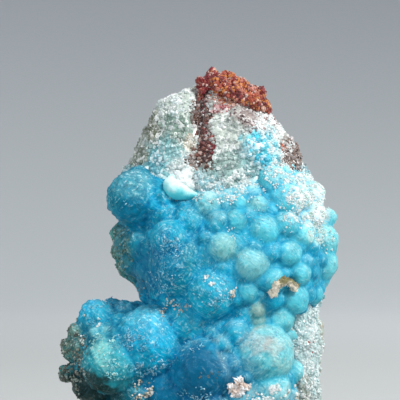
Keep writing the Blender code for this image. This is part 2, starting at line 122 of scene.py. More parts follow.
class Noise:
    """Noise worked out for whole arrays of points, the same on every run."""

    SPREAD = np.array([73856093, 19349663, 83492791], dtype=np.int64)
    SCRAMBLE = (np.uint64(0xFF51AFD7ED558CCD), np.uint64(0xC4CEB9FE1A85EC53))
    TURN = np.uint64(33)
    KEEP = np.uint64(11)
    WHOLE = float(2**53)
    SALTING = 40503
    LAYERS = 3
    OWN = 4  # added to the salt for a grain's own number, after 1 to 3 for its place
    FACET_TURNS = 7
    FACET_SKEW = 1.7

    @classmethod
    def pick(cls, cells: Array, salt: int) -> Array:
        """Scrambles each row of whole numbers into a number from 0 to 1.

        The coordinates times large odd numbers are joined by exclusive or, then multiplied and
        folded on themselves twice.

        Args:
            cells: whole numbers, three to a row.
            salt: a number that sets one use apart from another.

        Returns:
            One number for each row.
        """
        parts = cells * cls.SPREAD
        mixed = (parts[..., 0] ^ parts[..., 1] ^ parts[..., 2] ^ (salt * cls.SALTING)).astype(np.uint64)
        for factor in cls.SCRAMBLE:
            mixed ^= mixed >> cls.TURN
            mixed *= factor
        mixed ^= mixed >> cls.TURN
        return (mixed >> cls.KEEP) / cls.WHOLE

    @classmethod
    def waves(cls, points: Array, size: float, salt: int) -> Array:
        """Smooth noise from -1 to 1: random values at a lattice's corners, blended between them.

        Args:
            points: the points, one row each.
            size: the lattice's spacing.
            salt: a number that sets one use apart from another.

        Returns:
            One number for each point.
        """
        place = points / size
        corner = np.floor(place).astype(np.int64)
        share = place - corner
        share = share * share * (3 - 2 * share)
        total = np.zeros(len(points))
        for step in itertools.product((0, 1), repeat=3):
            weight = np.prod(np.where(step, share, 1 - share), axis=1)
            total += weight * cls.pick(corner + np.array(step), salt)
        return 2 * total - 1

    @classmethod
    def billows(cls, points: Array, size: float, salt: int) -> Array:
        """Adds layers of smooth noise, each half as large and half as strong as the one before.

        Args:
            points: the points, one row each.
            size: the first layer's spacing.
            salt: a number that sets one use apart from another.

        Returns:
            One number for each point, mostly from -1 to 1.
        """
        total = np.zeros(len(points))
        for layer in range(cls.LAYERS):
            total += cls.waves(points, size / 2**layer, salt + layer) / 2**layer
        return total

    @classmethod
    def grains(cls, points: Array, size: float, salt: int) -> tuple[Array, Array, Array]:
        """Divides space into cells round random hearts, one heart to each cube of a lattice.

        Args:
            points: the points, one row each.
            size: the lattice's spacing.
            salt: a number that sets one use apart from another.

        Returns:
            The distance to the nearest heart, in spacings, the way from that heart to each point, and
            a random number of the heart's own.
        """
        place = points / size
        cube = np.floor(place).astype(np.int64)
        near = np.full(len(points), np.inf)
        away = np.zeros_like(place)
        own = np.zeros(len(points))
        for step in itertools.product((-1, 0, 1), repeat=3):
            cell = cube + np.array(step)
            heart = cell + np.stack([cls.pick(cell, salt + axis) for axis in (1, 2, 3)], axis=1)
            gap = np.linalg.norm(place - heart, axis=1)
            closer = gap < near
            near = np.where(closer, gap, near)
            away[closer] = (place - heart)[closer]
            own[closer] = cls.pick(cell[closer], salt + cls.OWN)
        return near, away, own

    @classmethod
    def facets(cls, points: Array, size: float, salt: int) -> Array:
        """Flat tilted faces from -1 to 1: each grain slopes along a random way of its own.

        Args:
            points: the points, one row each.
            size: the grains' spacing.
            salt: a number that sets one use apart from another.

        Returns:
            One number for each point: the way from the grain's heart, times the grain's slope.
        """
        _, away, own = cls.grains(points, size, salt)
        turn = own * 2 * math.pi * cls.FACET_TURNS
        slope = np.stack([np.cos(turn), np.sin(turn * cls.FACET_SKEW), np.sin(turn)], axis=1)
        return (away * slope).sum(axis=1)


class Salt:
    """Numbers that set one use of the noise apart from another."""

    CRUST_SWELL = 5
    CRUST_CALM = 7
    CRUST_LUMPS = 9
    CRUST_PATCHES = 21
    CRUST_FROST = 23
    CRUST_TONE = 24
    CRUST_DIRT = 25
    CRUST_STAIN = 27
    CRUST_DEEP = 29
    ROCK_SUGAR = 31
    ROCK_FINE = 41
    ROCK_SWELL = 51
    ROCK_FACETS = 61
    ROCK_BLOTS = 71
    ROCK_WASH = 81
    ROCK_PATCHES = 91
    CREST_GRAIN = 101
    CREST_SWELL = 103
    CREST_SHADES = 111
    VEIN_EDGE = 121
    HORN_SHADE = 131
    HEAP_GRAIN = 141
    HEAP_FACETS = 145
    CRUMB_GRAIN = 151
    CRUMB_SWELL = 161
    CRUMB_SHADE = 171
    NEEDLE_TUFTS = 231
    ROCK_STAINS = 301
    ROCK_STAIN_EDGES = 305


class Seed:
    """Where each source of random numbers starts."""

    FILLERS = 3
    CREST = 7
    DRUSE = 11
    SUGAR = 13
    GLINTS = 14
    ROCK_CRYSTALS = 15
    NEEDLES = 17
    CRUMB = 19


class Tone(Enum):
    """The shades of the crust's balls, as screen colours."""

    DEEP = (0, 116, 154)
    SLATE = (0, 138, 162)
    BLUE = (12, 170, 200)
    MID = (0, 178, 216)
    SKY = (86, 197, 212)
    ICE = (114, 206, 214)
    WHITE = (240, 250, 250)
    CLOUD = (118, 200, 208)
    TEAL = (0, 118, 138)
    MINT = (44, 158, 170)
    SAGE = (74, 148, 136)
    MOSS = (36, 80, 72)

    @property
    def light(self) -> Array:
        """The shade as light values."""
        return linear(*self.value)


@dataclass(frozen=True)
class Bud:
    """A ball seen from the front: its place, its half width, its shade, its depth and half height.

    With no depth given it is set on the ball that the front view meets there first.
    """

    x: float
    z: float
    wide: float
    tone: Tone
    depth: float | None = None
    high: float | None = None


@dataclass(frozen=True)
class Row:
    """A row of balls round an upright line through a mass, on the side that the front hides."""

    mass: str
    height: float
    radius: float
    first: float
    last: float
    step: float
    tone: Tone


@dataclass(frozen=True)
class Ball:
    """An ellipsoid with its centre, its three radii and its shade."""

    centre: Vector
    radii: Vector
    tone: Tone

    def meeting(self, start: Vector, way: Vector) -> float:
        """How far along a line the ball is first met, by the quadratic in the ball's own unit space.

        Args:
            start: where the line starts.
            way: its direction, of length 1.

        Returns:
            The distance, or infinity where the line misses.
        """
        at = Vector([a / r for a, r in zip(start - self.centre, self.radii)])
        along = Vector([a / r for a, r in zip(way, self.radii)])
        a, b, c = along.dot(along), at.dot(along), at.dot(at) - 1
        inside = b * b - a * c
        return (-b - math.sqrt(inside)) / a if inside > 0 else math.inf


MASSES = {
    "chest": Ball(Vector((-0.5, -3, 35)), Vector((19.5, 13, 18)), Tone.BLUE),
    "foot": Ball(Vector((-0.5, -2.5, 12)), Vector((14.5, 13, 20)), Tone.BLUE),
    "lobe": Ball(Vector((-21, -3, 15.5)), Vector((12, 9.8, 9.3)), Tone.TEAL),
    "shoulder": Ball(Vector((-15.5, -1.5, 47)), Vector((8, 9, 6.6)), Tone.BLUE),
    "flank": Ball(Vector((-13, 3.5, 40)), Vector((8.6, 8.5, 12.5)), Tone.SAGE),
    "right_wall": Ball(Vector((9.5, -1.5, 47.5)), Vector((7.3, 9.3, 8)), Tone.SKY),
    "cheek": Ball(Vector((11, 1, 37)), Vector((9, 9.5, 11)), Tone.SKY),
}

GREAT_BUDS = [
    Bud(-19.9, 48.2, 6.0, Tone.SLATE, -5.6),
    Bud(-11.2, 35.0, 6.0, Tone.SLATE, high=7.4),
    Bud(-4.1, 29.0, 5.8, Tone.BLUE),
    Bud(-8.7, 22.4, 6.0, Tone.BLUE),
    Bud(-17.0, 18.6, 7.5, Tone.MID),
    Bud(-24.7, 14.1, 6.4, Tone.MINT),
    Bud(-5.6, 12.8, 7.0, Tone.DEEP),
    Bud(6.2, 16.2, 6.6, Tone.ICE),
    Bud(-20.1, 8.2, 5.2, Tone.TEAL),
    Bud(-11.8, 8.3, 5.8, Tone.DEEP),
    Bud(-3.5, 4.6, 5.2, Tone.DEEP),
]

SHOULDER_BUDS = [
    Bud(-18.9, 52.4, 2.8, Tone.TEAL, -4.0),
    Bud(-12.8, 39.8, 4.1, Tone.BLUE),
    Bud(-8.7, 43.1, 3.5, Tone.BLUE),
    Bud(-13.3, 44.5, 3.4, Tone.BLUE),
    Bud(-23.6, 47.4, 2.5, Tone.TEAL, -1.0),
]

# The shaded column under the shoulder, and the plate of crust that shows behind it
COLUMN_BUDS = [
    Bud(-18.4, 38.3, 3.5, Tone.TEAL, -5.5),
    Bud(-17.0, 33.2, 3.0, Tone.BLUE, -6.0),
    Bud(-15.3, 29.4, 2.6, Tone.DEEP, -6.5),
    Bud(-21.4, 38.6, 3.2, Tone.TEAL, -1.5),
    Bud(-20.2, 34.6, 3.0, Tone.TEAL, -1.5),
    Bud(-23.1, 40.6, 2.4, Tone.SAGE, 3.5),
    Bud(-22.8, 37.0, 2.4, Tone.SAGE, 5.0),
    Bud(-21.7, 33.7, 2.5, Tone.SAGE, 4.5),
    Bud(-19.0, 31.9, 2.5, Tone.SAGE, 4.0),
]

# The bunch of small grapes right of the middle
GRAPE_BUDS = [
    Bud(-5.0, 46.6, 3.1, Tone.CLOUD),
    Bud(1.2, 46.8, 1.9, Tone.SKY),
    Bud(5.4, 46.4, 2.2, Tone.CLOUD),
    Bud(-2.9, 43.1, 2.5, Tone.BLUE),
    Bud(1.0, 43.3, 2.5, Tone.SKY),
    Bud(6.2, 41.2, 3.5, Tone.SKY),
    Bud(-2.1, 38.1, 3.2, Tone.CLOUD),
    Bud(3.7, 34.8, 4.0, Tone.CLOUD),
    Bud(11.4, 36.7, 2.8, Tone.SKY),
    Bud(8.3, 31.4, 2.7, Tone.SKY),
    Bud(3.1, 28.8, 2.2, Tone.SKY),
    Bud(5.0, 25.7, 2.0, Tone.CLOUD),
    Bud(5.0, 23.2, 2.0, Tone.CLOUD),
    Bud(9.7, 23.6, 3.2, Tone.ICE),
    Bud(12.4, 27.6, 3.4, Tone.SKY),
    Bud(13.7, 32.7, 2.7, Tone.SKY),
    Bud(16.2, 28.4, 2.6, Tone.SKY, -4.5),
    Bud(0.6, 20.7, 3.0, Tone.BLUE),
    Bud(-2.1, 18.2, 2.5, Tone.BLUE),
    Bud(12.0, 20.0, 2.6, Tone.ICE),
    Bud(7.9, 9.3, 4.1, Tone.ICE),
    Bud(5.0, 4.6, 3.7, Tone.ICE),
    Bud(11.6, 5.2, 2.6, Tone.WHITE),
    Bud(12.2, 12.6, 2.6, Tone.ICE),
]

# The right edge, from the blue run down the rock to the white balls and the cheek below them
CHEEK_BUDS = [
    Bud(18.1, 34.6, 3.9, Tone.ICE, -1.5),
    Bud(18.2, 39.2, 4.1, Tone.ICE, -1.0),
    Bud(19.9, 44.0, 2.1, Tone.ICE, 0.5),
    Bud(16.4, 48.7, 3.0, Tone.WHITE, -2.5),
    Bud(16.2, 44.8, 3.2, Tone.WHITE, -4.0),
    Bud(11.0, 47.7, 3.8, Tone.SKY),
    Bud(8.3, 51.8, 3.2, Tone.SKY),
    Bud(6.4, 55.9, 3.0, Tone.SKY, -6.0),
    Bud(11.0, 42.5, 2.9, Tone.SKY),
    Bud(14.1, 40.4, 2.7, Tone.ICE),
]

LOBE_BUDS = [
    Bud(-27.8, 23.2, 4.1, Tone.MID, -4.0),
    Bud(-24.9, 24.4, 2.9, Tone.MID, -0.5),
    Bud(-22.2, 23.0, 4.0, Tone.MID, -2.5),
    Bud(-19.5, 24.1, 2.8, Tone.BLUE, 0.0),
    Bud(-16.5, 22.9, 3.8, Tone.MID, -2.0),
    Bud(-32.3, 17.2, 3.1, Tone.SAGE, -3.0),
    Bud(-34.0, 11.8, 2.1, Tone.SAGE, -2.0),
    Bud(-31.5, 20.4, 2.4, Tone.SAGE, -4.0),
    Bud(-30.7, 8.9, 2.4, Tone.MOSS, -3.0),
    Bud(-28.0, 7.3, 2.9, Tone.MOSS, -4.5),
]

# Rows of balls where the front doesn't show: round the back of the lobe, the flank and the cheek
HIDDEN_ROWS = [
    Row("lobe", 9.8, 3.2, 180, 285, 33, Tone.TEAL),
    Row("lobe", 15.5, 3.9, 150, 262, 33, Tone.TEAL),
    Row("lobe", 21.0, 3.4, 185, 270, 34, Tone.SAGE),
    Row("flank", 33.0, 3.0, 222, 282, 24, Tone.SAGE),
    Row("flank", 38.5, 3.3, 210, 262, 24, Tone.TEAL),
    Row("flank", 44.0, 3.1, 222, 290, 25, Tone.TEAL),
    Row("flank", 49.0, 2.5, 215, 275, 30, Tone.SAGE),
    Row("cheek", 30.5, 2.8, 75, 112, 26, Tone.ICE),
    Row("cheek", 36.0, 3.0, 108, 135, 27, Tone.ICE),
    Row("cheek", 41.5, 2.9, 96, 126, 26, Tone.ICE),
]


@dataclass(frozen=True)
class Patch:
    """A soft-edged spot of colour that the front view shows, given by columns and rows of the picture."""

    left: float
    right: float
    top: float
    bottom: float
    colour: Colour = (255, 255, 255)
    strength: float = 1.0
    ring: float = 0.0  # the share of it, round the middle, that stays bare

    FRAY_SIZE = 1.6
    FRAY = 0.35
    OUTER_EDGE = 1.25
    INNER_EDGE = 0.75
    RING_EDGE = 0.15

    def share(self, points: Array, ragged: Array) -> Array:
        """How much of the patch lies at each point: a filled ellipse whose edge the noise frays.

        Args:
            points: the points, one row each.
            ragged: noise at each point, about -1 to 1.

        Returns:
            One number from 0 to the strength for each point.
        """
        middle_x = ((self.left + self.right) / 2 - MIDDLE_COLUMN) / PICTURE_SCALE
        middle_z = (GROUND_ROW - (self.top + self.bottom) / 2) / PICTURE_SCALE
        wide = (self.right - self.left) / 2 / PICTURE_SCALE
        high = (self.bottom - self.top) / 2 / PICTURE_SCALE
        reach = np.hypot((points[:, 0] - middle_x) / wide, (points[:, 2] - middle_z) / high)
        share = self.strength * ramp(reach + self.FRAY * ragged, self.OUTER_EDGE, self.INNER_EDGE)
        if self.ring:
            share *= ramp(reach, self.ring - self.RING_EDGE, self.ring + self.RING_EDGE)
        return share


def painted(tones: Array, patches: Iterable[Patch], points: Array, facing: Array, salt: int) -> Array:
    """Lays patches of colour over the tones, one after another.

    Args:
        tones: the light values at each point, one row each.
        patches: the patches, the lowest first.
        points: the points, one row each.
        facing: how much each point faces the front, from 0 to 1.
        salt: a number that sets one use of the noise apart from another.

    Returns:
        The new light values.
    """
    ragged = Noise.billows(points, Patch.FRAY_SIZE, salt)
    for patch in patches:
        share = (patch.share(points, ragged) * facing)[:, None]
        tones = blended(tones, linear(*patch.colour), share)
    return tones


def capped(rings: int, sides: int) -> Array:
    """The triangles of a surface of rings that is closed by a point at each end.

    Point 0 is the bottom one, each ring follows with its points anticlockwise from above, and the top
    point is the last.

    Args:
        rings: how many rings there are.
        sides: how many points each ring has.

    Returns:
        One row of three point numbers for each triangle, facing out.
    """
    here = np.arange(sides)
    beside = (here + 1) % sides
    top = 1 + rings * sides
    parts = [np.stack([0 * here, 1 + beside, 1 + here], axis=1)]
    for ring in range(rings - 1):
        low = 1 + ring * sides
        high = low + sides
        parts.append(np.stack([low + here, low + beside, high + beside], axis=1))
        parts.append(np.stack([low + here, high + beside, high + here], axis=1))
    last = top - sides
    parts.append(np.stack([last + here, last + beside, 0 * here + top], axis=1))
    return np.concatenate(parts)


def turned(profile: Array, sides: int) -> tuple[Array, Array]:
    """A closed shape turned round Z: each ring is a circle of the profile's radius at its height.

    Args:
        profile: radius and height, from the bottom point to the top point, both of radius 0.
        sides: how many points each ring has.

    Returns:
        The points and the triangles.
    """
    angle = np.arange(sides) / sides * 2 * math.pi
    radius, height = profile[1:-1, 0, None], profile[1:-1, 1, None]
    rings = np.stack([radius * np.cos(angle), radius * np.sin(angle), height + 0 * angle], axis=-1)
    ends = np.array([[0, 0, profile[0, 1]], [0, 0, profile[-1, 1]]])
    points = np.concatenate([ends[:1], rings.reshape(-1, 3), ends[1:]])
    return points, capped(len(profile) - 2, sides)


def round_profile(steps: int) -> Array:
    """The half circle of a unit ball: sine and minus cosine of an angle that runs through 180 degrees."""
    angle = np.linspace(0, math.pi, steps)
    return np.stack([np.sin(angle), -np.cos(angle)], axis=1)


def copies(shape: tuple[Array, Array], places: Array, frames: Array) -> tuple[Array, Array]:
    """Repeats a shape: each copy is the shape's points times a frame, moved to a place.

    Args:
        shape: the points and triangles of one.
        places: where each copy goes, one row each.
        frames: a 3 by 3 matrix for each copy, whose rows are its three axes at their lengths.

    Returns:
        The points and triangles of all copies.
    """
    points, triangles = shape
    moved = np.einsum("vi,nij->nvj", points, frames) + places[:, None]
    offsets = (np.arange(len(places)) * len(points))[:, None, None]
    return moved.reshape(-1, 3), (triangles[None] + offsets).reshape(-1, 3)


def swept(path: Array, girths: Array, sides: int, steps: int = 8) -> tuple[Array, Array]:
    """A round body along a path: circles square to the path, whose radius runs through the girths.

    The path and the girths are joined by cubic curves through their points, and a half ball closes
    each end.

    Args:
        path: the path's points, one row each.
        girths: the radius at each point.
        sides: how many points each circle has.
        steps: how many circles lie between two points.

    Returns:
        The points and the triangles.
    """
    fine = np.linspace(0, len(path) - 1, steps * (len(path) - 1) + 1)
    rows = np.concatenate([path, girths[:, None]], axis=1)
    slopes = np.gradient(rows, axis=0)
    left = np.minimum(fine.astype(int), len(path) - 2)
    t = (fine - left)[:, None]
    curve = ((2 * t**3 - 3 * t**2 + 1) * rows[left] + (t**3 - 2 * t**2 + t) * slopes[left]
             + (3 * t**2 - 2 * t**3) * rows[left + 1] + (t**3 - t**2) * slopes[left + 1])
    along = units(np.gradient(curve[:, :3], axis=0))
    bend = np.linspace(0, math.pi / 2, 6)[1:-1, None]
    first = np.concatenate([curve[0, :3] - along[0] * curve[0, 3] * np.cos(bend),
                            curve[0, 3] * np.sin(bend)], axis=1)
    last = np.concatenate([curve[-1, :3] + along[-1] * curve[-1, 3] * np.cos(bend[::-1]),
                           curve[-1, 3] * np.sin(bend[::-1])], axis=1)
    full = np.concatenate([first, curve, last])
    ways = np.concatenate([np.tile(along[0], (len(first), 1)), along,
                           np.tile(along[-1], (len(last), 1))])
    side = units(np.cross(ways, np.array([0.13, 0.9, 0.41])))
    over = np.cross(ways, side)
    angle = (np.arange(sides) / sides * 2 * math.pi)[None, :, None]
    round_way = np.cos(angle) * side[:, None] + np.sin(angle) * over[:, None]
    rings = full[:, None, :3] + full[:, 3, None, None] * round_way
    start = curve[0, :3] - along[0] * curve[0, 3]
    finish = curve[-1, :3] + along[-1] * curve[-1, 3]
    points = np.concatenate([start[None], rings.reshape(-1, 3), finish[None]])
    return points, capped(len(full), sides)


class Piece:
    """An object of the scene, with its mesh's points as arrays in millimetres."""

    def __init__(self, name: str, points: Array, triangles: Array) -> None:
        """Puts the points and triangles in a new object of that name."""
        mesh = bpy.data.meshes.new(name)
        mesh.from_pydata((points * MM).tolist(), [], triangles.tolist())
        self.thing = bpy.data.objects.new(name, mesh)
        bpy.context.scene.collection.objects.link(self.thing)

    @classmethod
    def from_node(cls, name: str, node: str) -> "Piece":
        """A merged copy of a solid's mesh.

        Args:
            name: the new piece's name.
            node: the solid's name.

        Returns:
            The piece, with each corner of the solid once.
        """
        made = cls(name, np.zeros((0, 3)), np.zeros((0, 3), dtype=int))
        bm = bmesh.new()
        bm.from_mesh(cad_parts[node].data)
        bmesh.ops.remove_doubles(bm, verts=bm.verts, dist=1e-6)
        bm.to_mesh(made.thing.data)
        bm.free()
        return made

    def read(self, what: str) -> Array:
        """Each point's place or normal, by its name in Blender, one row each."""
        flat = np.empty(3 * len(self.thing.data.vertices))
        self.thing.data.vertices.foreach_get(what, flat)
        return flat.reshape(-1, 3)

    @property
    def points(self) -> Array:
        """The points in millimetres."""
        return self.read("co") / MM

    @property
    def normals(self) -> Array:
        """The way that each point faces."""
        return self.read("normal")

    def move(self, points: Array) -> None:
        """Puts the mesh's points where the array says."""
        self.thing.data.vertices.foreach_set("co", (points * MM).ravel())
        self.thing.data.update()

    def raised(self, rise: Array) -> None:
        """Moves each point out along its normal by its rise, in millimetres."""
        self.move(self.points + self.normals * rise[:, None])

    def modified(self, kind: str, **settings: object) -> None:
        """Runs one modifier and keeps what it makes.

        Args:
            kind: the modifier's type.
            settings: its settings by name.
        """
        modifier = self.thing.modifiers.new(kind.lower(), kind)
        for name, value in settings.items():
            setattr(modifier, name, value)
        bpy.context.view_layer.update()
        graph = bpy.context.evaluated_depsgraph_get()
        mesh = bpy.data.meshes.new_from_object(self.thing.evaluated_get(graph), depsgraph=graph)
        self.thing.modifiers.clear()
        old = self.thing.data
        self.thing.data = mesh
        bpy.data.meshes.remove(old)

    def fused(self, voxel: float) -> None:
        """Fuses what overlaps into one skin of even faces, a voxel wide."""
        self.modified("REMESH", mode="VOXEL", voxel_size=voxel * MM)

    def smoothed(self, times: int) -> None:
        """Rounds the skin off, by moving each point towards its neighbours."""
        self.modified("SMOOTH", factor=0.5, iterations=times)

    def paint(self, name: str, values: Array) -> None:
        """Stores a number or a colour at each point, for the material to read.

        Args:
            name: what the material calls it.
            values: one number, or one row of light values, for each point.
        """
        kind = "FLOAT" if values.ndim == 1 else "FLOAT_COLOR"
        layer = self.thing.data.attributes.new(name, kind, "POINT")
        if kind == "FLOAT":
            layer.data.foreach_set("value", values.astype(np.float32))
        else:
            full = np.concatenate([values, np.ones((len(values), 1))], axis=1)
            layer.data.foreach_set("color", full.astype(np.float32).ravel())

    def painted(self, name: str, width: int) -> Array:
        """What is stored at each point under that name, one row each; a colour is 4 wide."""
        flat = np.empty(width * len(self.thing.data.vertices), dtype=np.float32)
        key = "value" if width == 1 else "color"
        self.thing.data.attributes[name].data.foreach_get(key, flat)
        return flat.reshape(-1, width)

    def finished(self, look: bpy.types.Material, slot: str, smooth: bool, *nodes: str) -> "Piece":
        """Gives the piece its material and its body, and hides the solids it stands for.

        Args:
            look: the material.
            slot: the record's material slot; not used.
            smooth: whether the faces are shaded as one skin.
            nodes: the solids that the piece replaces.

        Returns:
            The piece itself.
        """
        mesh = self.thing.data
        mesh.materials.clear()
        mesh.materials.append(look)
        if smooth:
            mesh.shade_smooth()
        else:
            mesh.shade_flat()
        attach(self.thing, BODY)
        for node in nodes:
            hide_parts(node)
        log.info("%s: %d points, %d faces", self.thing.name, len(mesh.vertices), len(mesh.polygons))
        return self

    def picked(self, count: int, chance: np.random.Generator, density: Array) -> tuple[Array, Array, Array]:
        """Picks random places on the skin, more of them where the density is high.

        Args:
            count: how many places.
            chance: the source of random numbers.
            density: how thickly they lie at each point of the mesh.

        Returns:
            The places, the way each faces, and the number of the mesh point beside each.
        """
        mesh = self.thing.data
        mesh.calc_loop_triangles()
        corners = np.empty(3 * len(mesh.loop_triangles), dtype=np.int32)
        mesh.loop_triangles.foreach_get("vertices", corners)
        corners = corners.reshape(-1, 3)
        points = self.points
        a, b, c = (points[corners[:, i]] for i in range(3))
        across = np.cross(b - a, c - a)
        weight = np.linalg.norm(across, axis=1) * density[corners].mean(axis=1)
        chosen = chance.choice(len(corners), size=count, p=weight / weight.sum())
        u, v = chance.random((2, count, 1))
        over = u + v > 1
        u, v = np.where(over, 1 - u, u), np.where(over, 1 - v, v)
        places = a[chosen] + u * (b - a)[chosen] + v * (c - a)[chosen]
        return places, units(across[chosen]), corners[chosen, 0]


class Value:
    """A shader's socket that takes part in sums as a number does."""

    def __init__(self, recipe: "Recipe", socket: bpy.types.NodeSocket) -> None:
        """Wraps an output socket of the recipe."""
        self.recipe = recipe
        self.socket = socket

    def maths(self, operation: str, first: "Value | float", second: "Value | float") -> "Value":
        """Adds a Math node."""
        return self.recipe.node("ShaderNodeMath", {"operation": operation}, {0: first, 1: second})

    def __add__(self, other: "Value | float") -> "Value":
        """This plus the other."""
        return self.maths("ADD", self, other)

    __radd__ = __add__

    def __sub__(self, other: "Value | float") -> "Value":
        """This less the other."""
        return self.maths("SUBTRACT", self, other)

    def __rsub__(self, other: float) -> "Value":
        """The other less this."""
        return self.maths("SUBTRACT", other, self)

    def __mul__(self, other: "Value | float") -> "Value":
        """This times the other."""
        return self.maths("MULTIPLY", self, other)

    __rmul__ = __mul__

    def stepped(self, low: float, high: float, first: float = 0.0, last: float = 1.0) -> "Value":
        """Rises smoothly from the first number at low to the last at high."""
        settings = {"interpolation_type": "SMOOTHSTEP", "clamp": True}
        inputs = {"Value": self, "From Min": low, "From Max": high, "To Min": first, "To Max": last}
        return self.recipe.node("ShaderNodeMapRange", settings, inputs, "Result")


class Recipe:
    """A material put together from nodes round one Principled shader."""

    def __init__(self, name: str, **constants: object) -> None:
        """Starts a material.

        Args:
            name: its name.
            constants: the shader's fixed values, by socket name with _ for each space.
        """
        self.material = bpy.data.materials.new(name)
        self.material.use_nodes = True
        self.nodes = self.material.node_tree.nodes
        self.links = self.material.node_tree.links
        self.shader = self.nodes["Principled BSDF"]
        for key, value in constants.items():
            self.shader.inputs[key.replace("_", " ")].default_value = value
        self.place = self.node("ShaderNodeTexCoord", {}, {}, "Object")

    def node(self, kind: str, settings: dict, inputs: dict, output: str | int = 0) -> Value:
        """Adds a node of any kind.

        Args:
            kind: the node's type.
            settings: its settings, such as a Math node's operation, set first.
            inputs: a value or a link for each socket, by name or number.
            output: which of its outputs is wanted.

        Returns:
            That output.
        """
        made = self.nodes.new(kind)
        for name, value in settings.items():
            setattr(made, name, value)
        for name, value in inputs.items():
            if isinstance(value, Value):
                self.links.new(value.socket, made.inputs[name])
            else:
                made.inputs[name].default_value = value
        return Value(self, made.outputs[output])

    def painted(self, name: str, output: str = "Fac") -> Value:
        """What the mesh stores at its points under that name."""
        return self.node("ShaderNodeAttribute", {"attribute_name": name}, {}, output)

    def mottle(self, size: float, detail: float = 3.0, rough: float = 0.55, warp: float = 0.0) -> Value:
        """Smooth noise from 0 to 1 with lumps of that size in millimetres."""
        inputs = {"Vector": self.place, "Scale": 1 / (size * MM), "Detail": detail, "Roughness": rough,
                  "Distortion": warp}
        return self.node("ShaderNodeTexNoise", {}, inputs, "Fac")

    def streaks(self, size: float, stretch: float, turn: tuple[float, float, float]) -> Value:
        """Noise from 0 to 1 drawn out into fibres.

        Args:
            size: how wide the fibres are, in millimetres.
            stretch: how many times longer they are than wide.
            turn: how they are turned about X, Y and Z, in radians.

        Returns:
            The noise.
        """
        settings = {"vector_type": "TEXTURE"}
        inputs = {"Vector": self.place, "Rotation": turn, "Scale": (1, 1, stretch)}
        drawn = self.node("ShaderNodeMapping", settings, inputs, "Vector")
        inputs = {"Vector": drawn, "Scale": 1 / (size * MM), "Detail": 3.0, "Roughness": 0.65,
                  "Distortion": 0.4}
        return self.node("ShaderNodeTexNoise", {}, inputs, "Fac")

    def cells(self, size: float, output: str) -> Value:
        """Cells of that size in millimetres: the distance to their hearts, or their random colours."""
        inputs = {"Vector": self.place, "Scale": 1 / (size * MM)}
        return self.node("ShaderNodeTexVoronoi", {}, inputs, output)

    def blend(self, factor: Value, first: "Value | Array", second: Array, way: str = "MIX") -> Value:
        """Mixes two colours.

        Args:
            factor: the second colour's share.
            first: a link, or light values.
            second: light values.
            way: how they mix, such as MULTIPLY.

        Returns:
            The mixed colour.
        """
        made = self.nodes.new("ShaderNodeMix")
        made.data_type = "RGBA"
        made.blend_type = way
        made.clamp_factor = True
        sockets = [s for s in made.inputs if s.enabled]
        for socket, value in zip(sockets, (factor, first, second)):
            if isinstance(value, Value):
                self.links.new(value.socket, socket)
            else:
                socket.default_value = (*value, 1.0)
        return Value(self, next(s for s in made.outputs if s.enabled))

    def bumped(self, height: Value, depth: float, strength: float = 1.0,
               normal: Value | None = None) -> Value:
        """The normal of a surface raised by the height, times a depth in millimetres."""
        inputs = {"Height": height, "Distance": depth * MM, "Strength": strength}
        if normal is not None:
            inputs["Normal"] = normal
        return self.node("ShaderNodeBump", {}, inputs, "Normal")

    def sparkling(self, size: float, tilt: float) -> Value:
        """Normals tilted cell by cell, as small crystal faces are.

        Args:
            size: the cells' size in millimetres.
            tilt: how far the faces lean.

        Returns:
            The normal: the surface's own, plus each cell's random way times the tilt.
        """
        random_way = self.cells(size, "Color")
        centred = self.node("ShaderNodeVectorMath", {"operation": "SUBTRACT"},
                            {0: random_way, 1: (0.5, 0.5, 0.5)}, "Vector")
        lean = self.node("ShaderNodeVectorMath", {"operation": "SCALE"},
                         {0: centred, "Scale": tilt}, "Vector")
        own = self.node("ShaderNodeNewGeometry", {}, {}, "Normal")
        total = self.node("ShaderNodeVectorMath", {"operation": "ADD"}, {0: own, 1: lean}, "Vector")
        return self.node("ShaderNodeVectorMath", {"operation": "NORMALIZE"}, {0: total}, "Vector")

    def set(self, **links: Value) -> bpy.types.Material:
        """Links the shader's sockets, by name with _ for each space, and gives the material."""
        for key, value in links.items():
            self.links.new(value.socket, self.shader.inputs[key.replace("_", " ")])
        return self.material


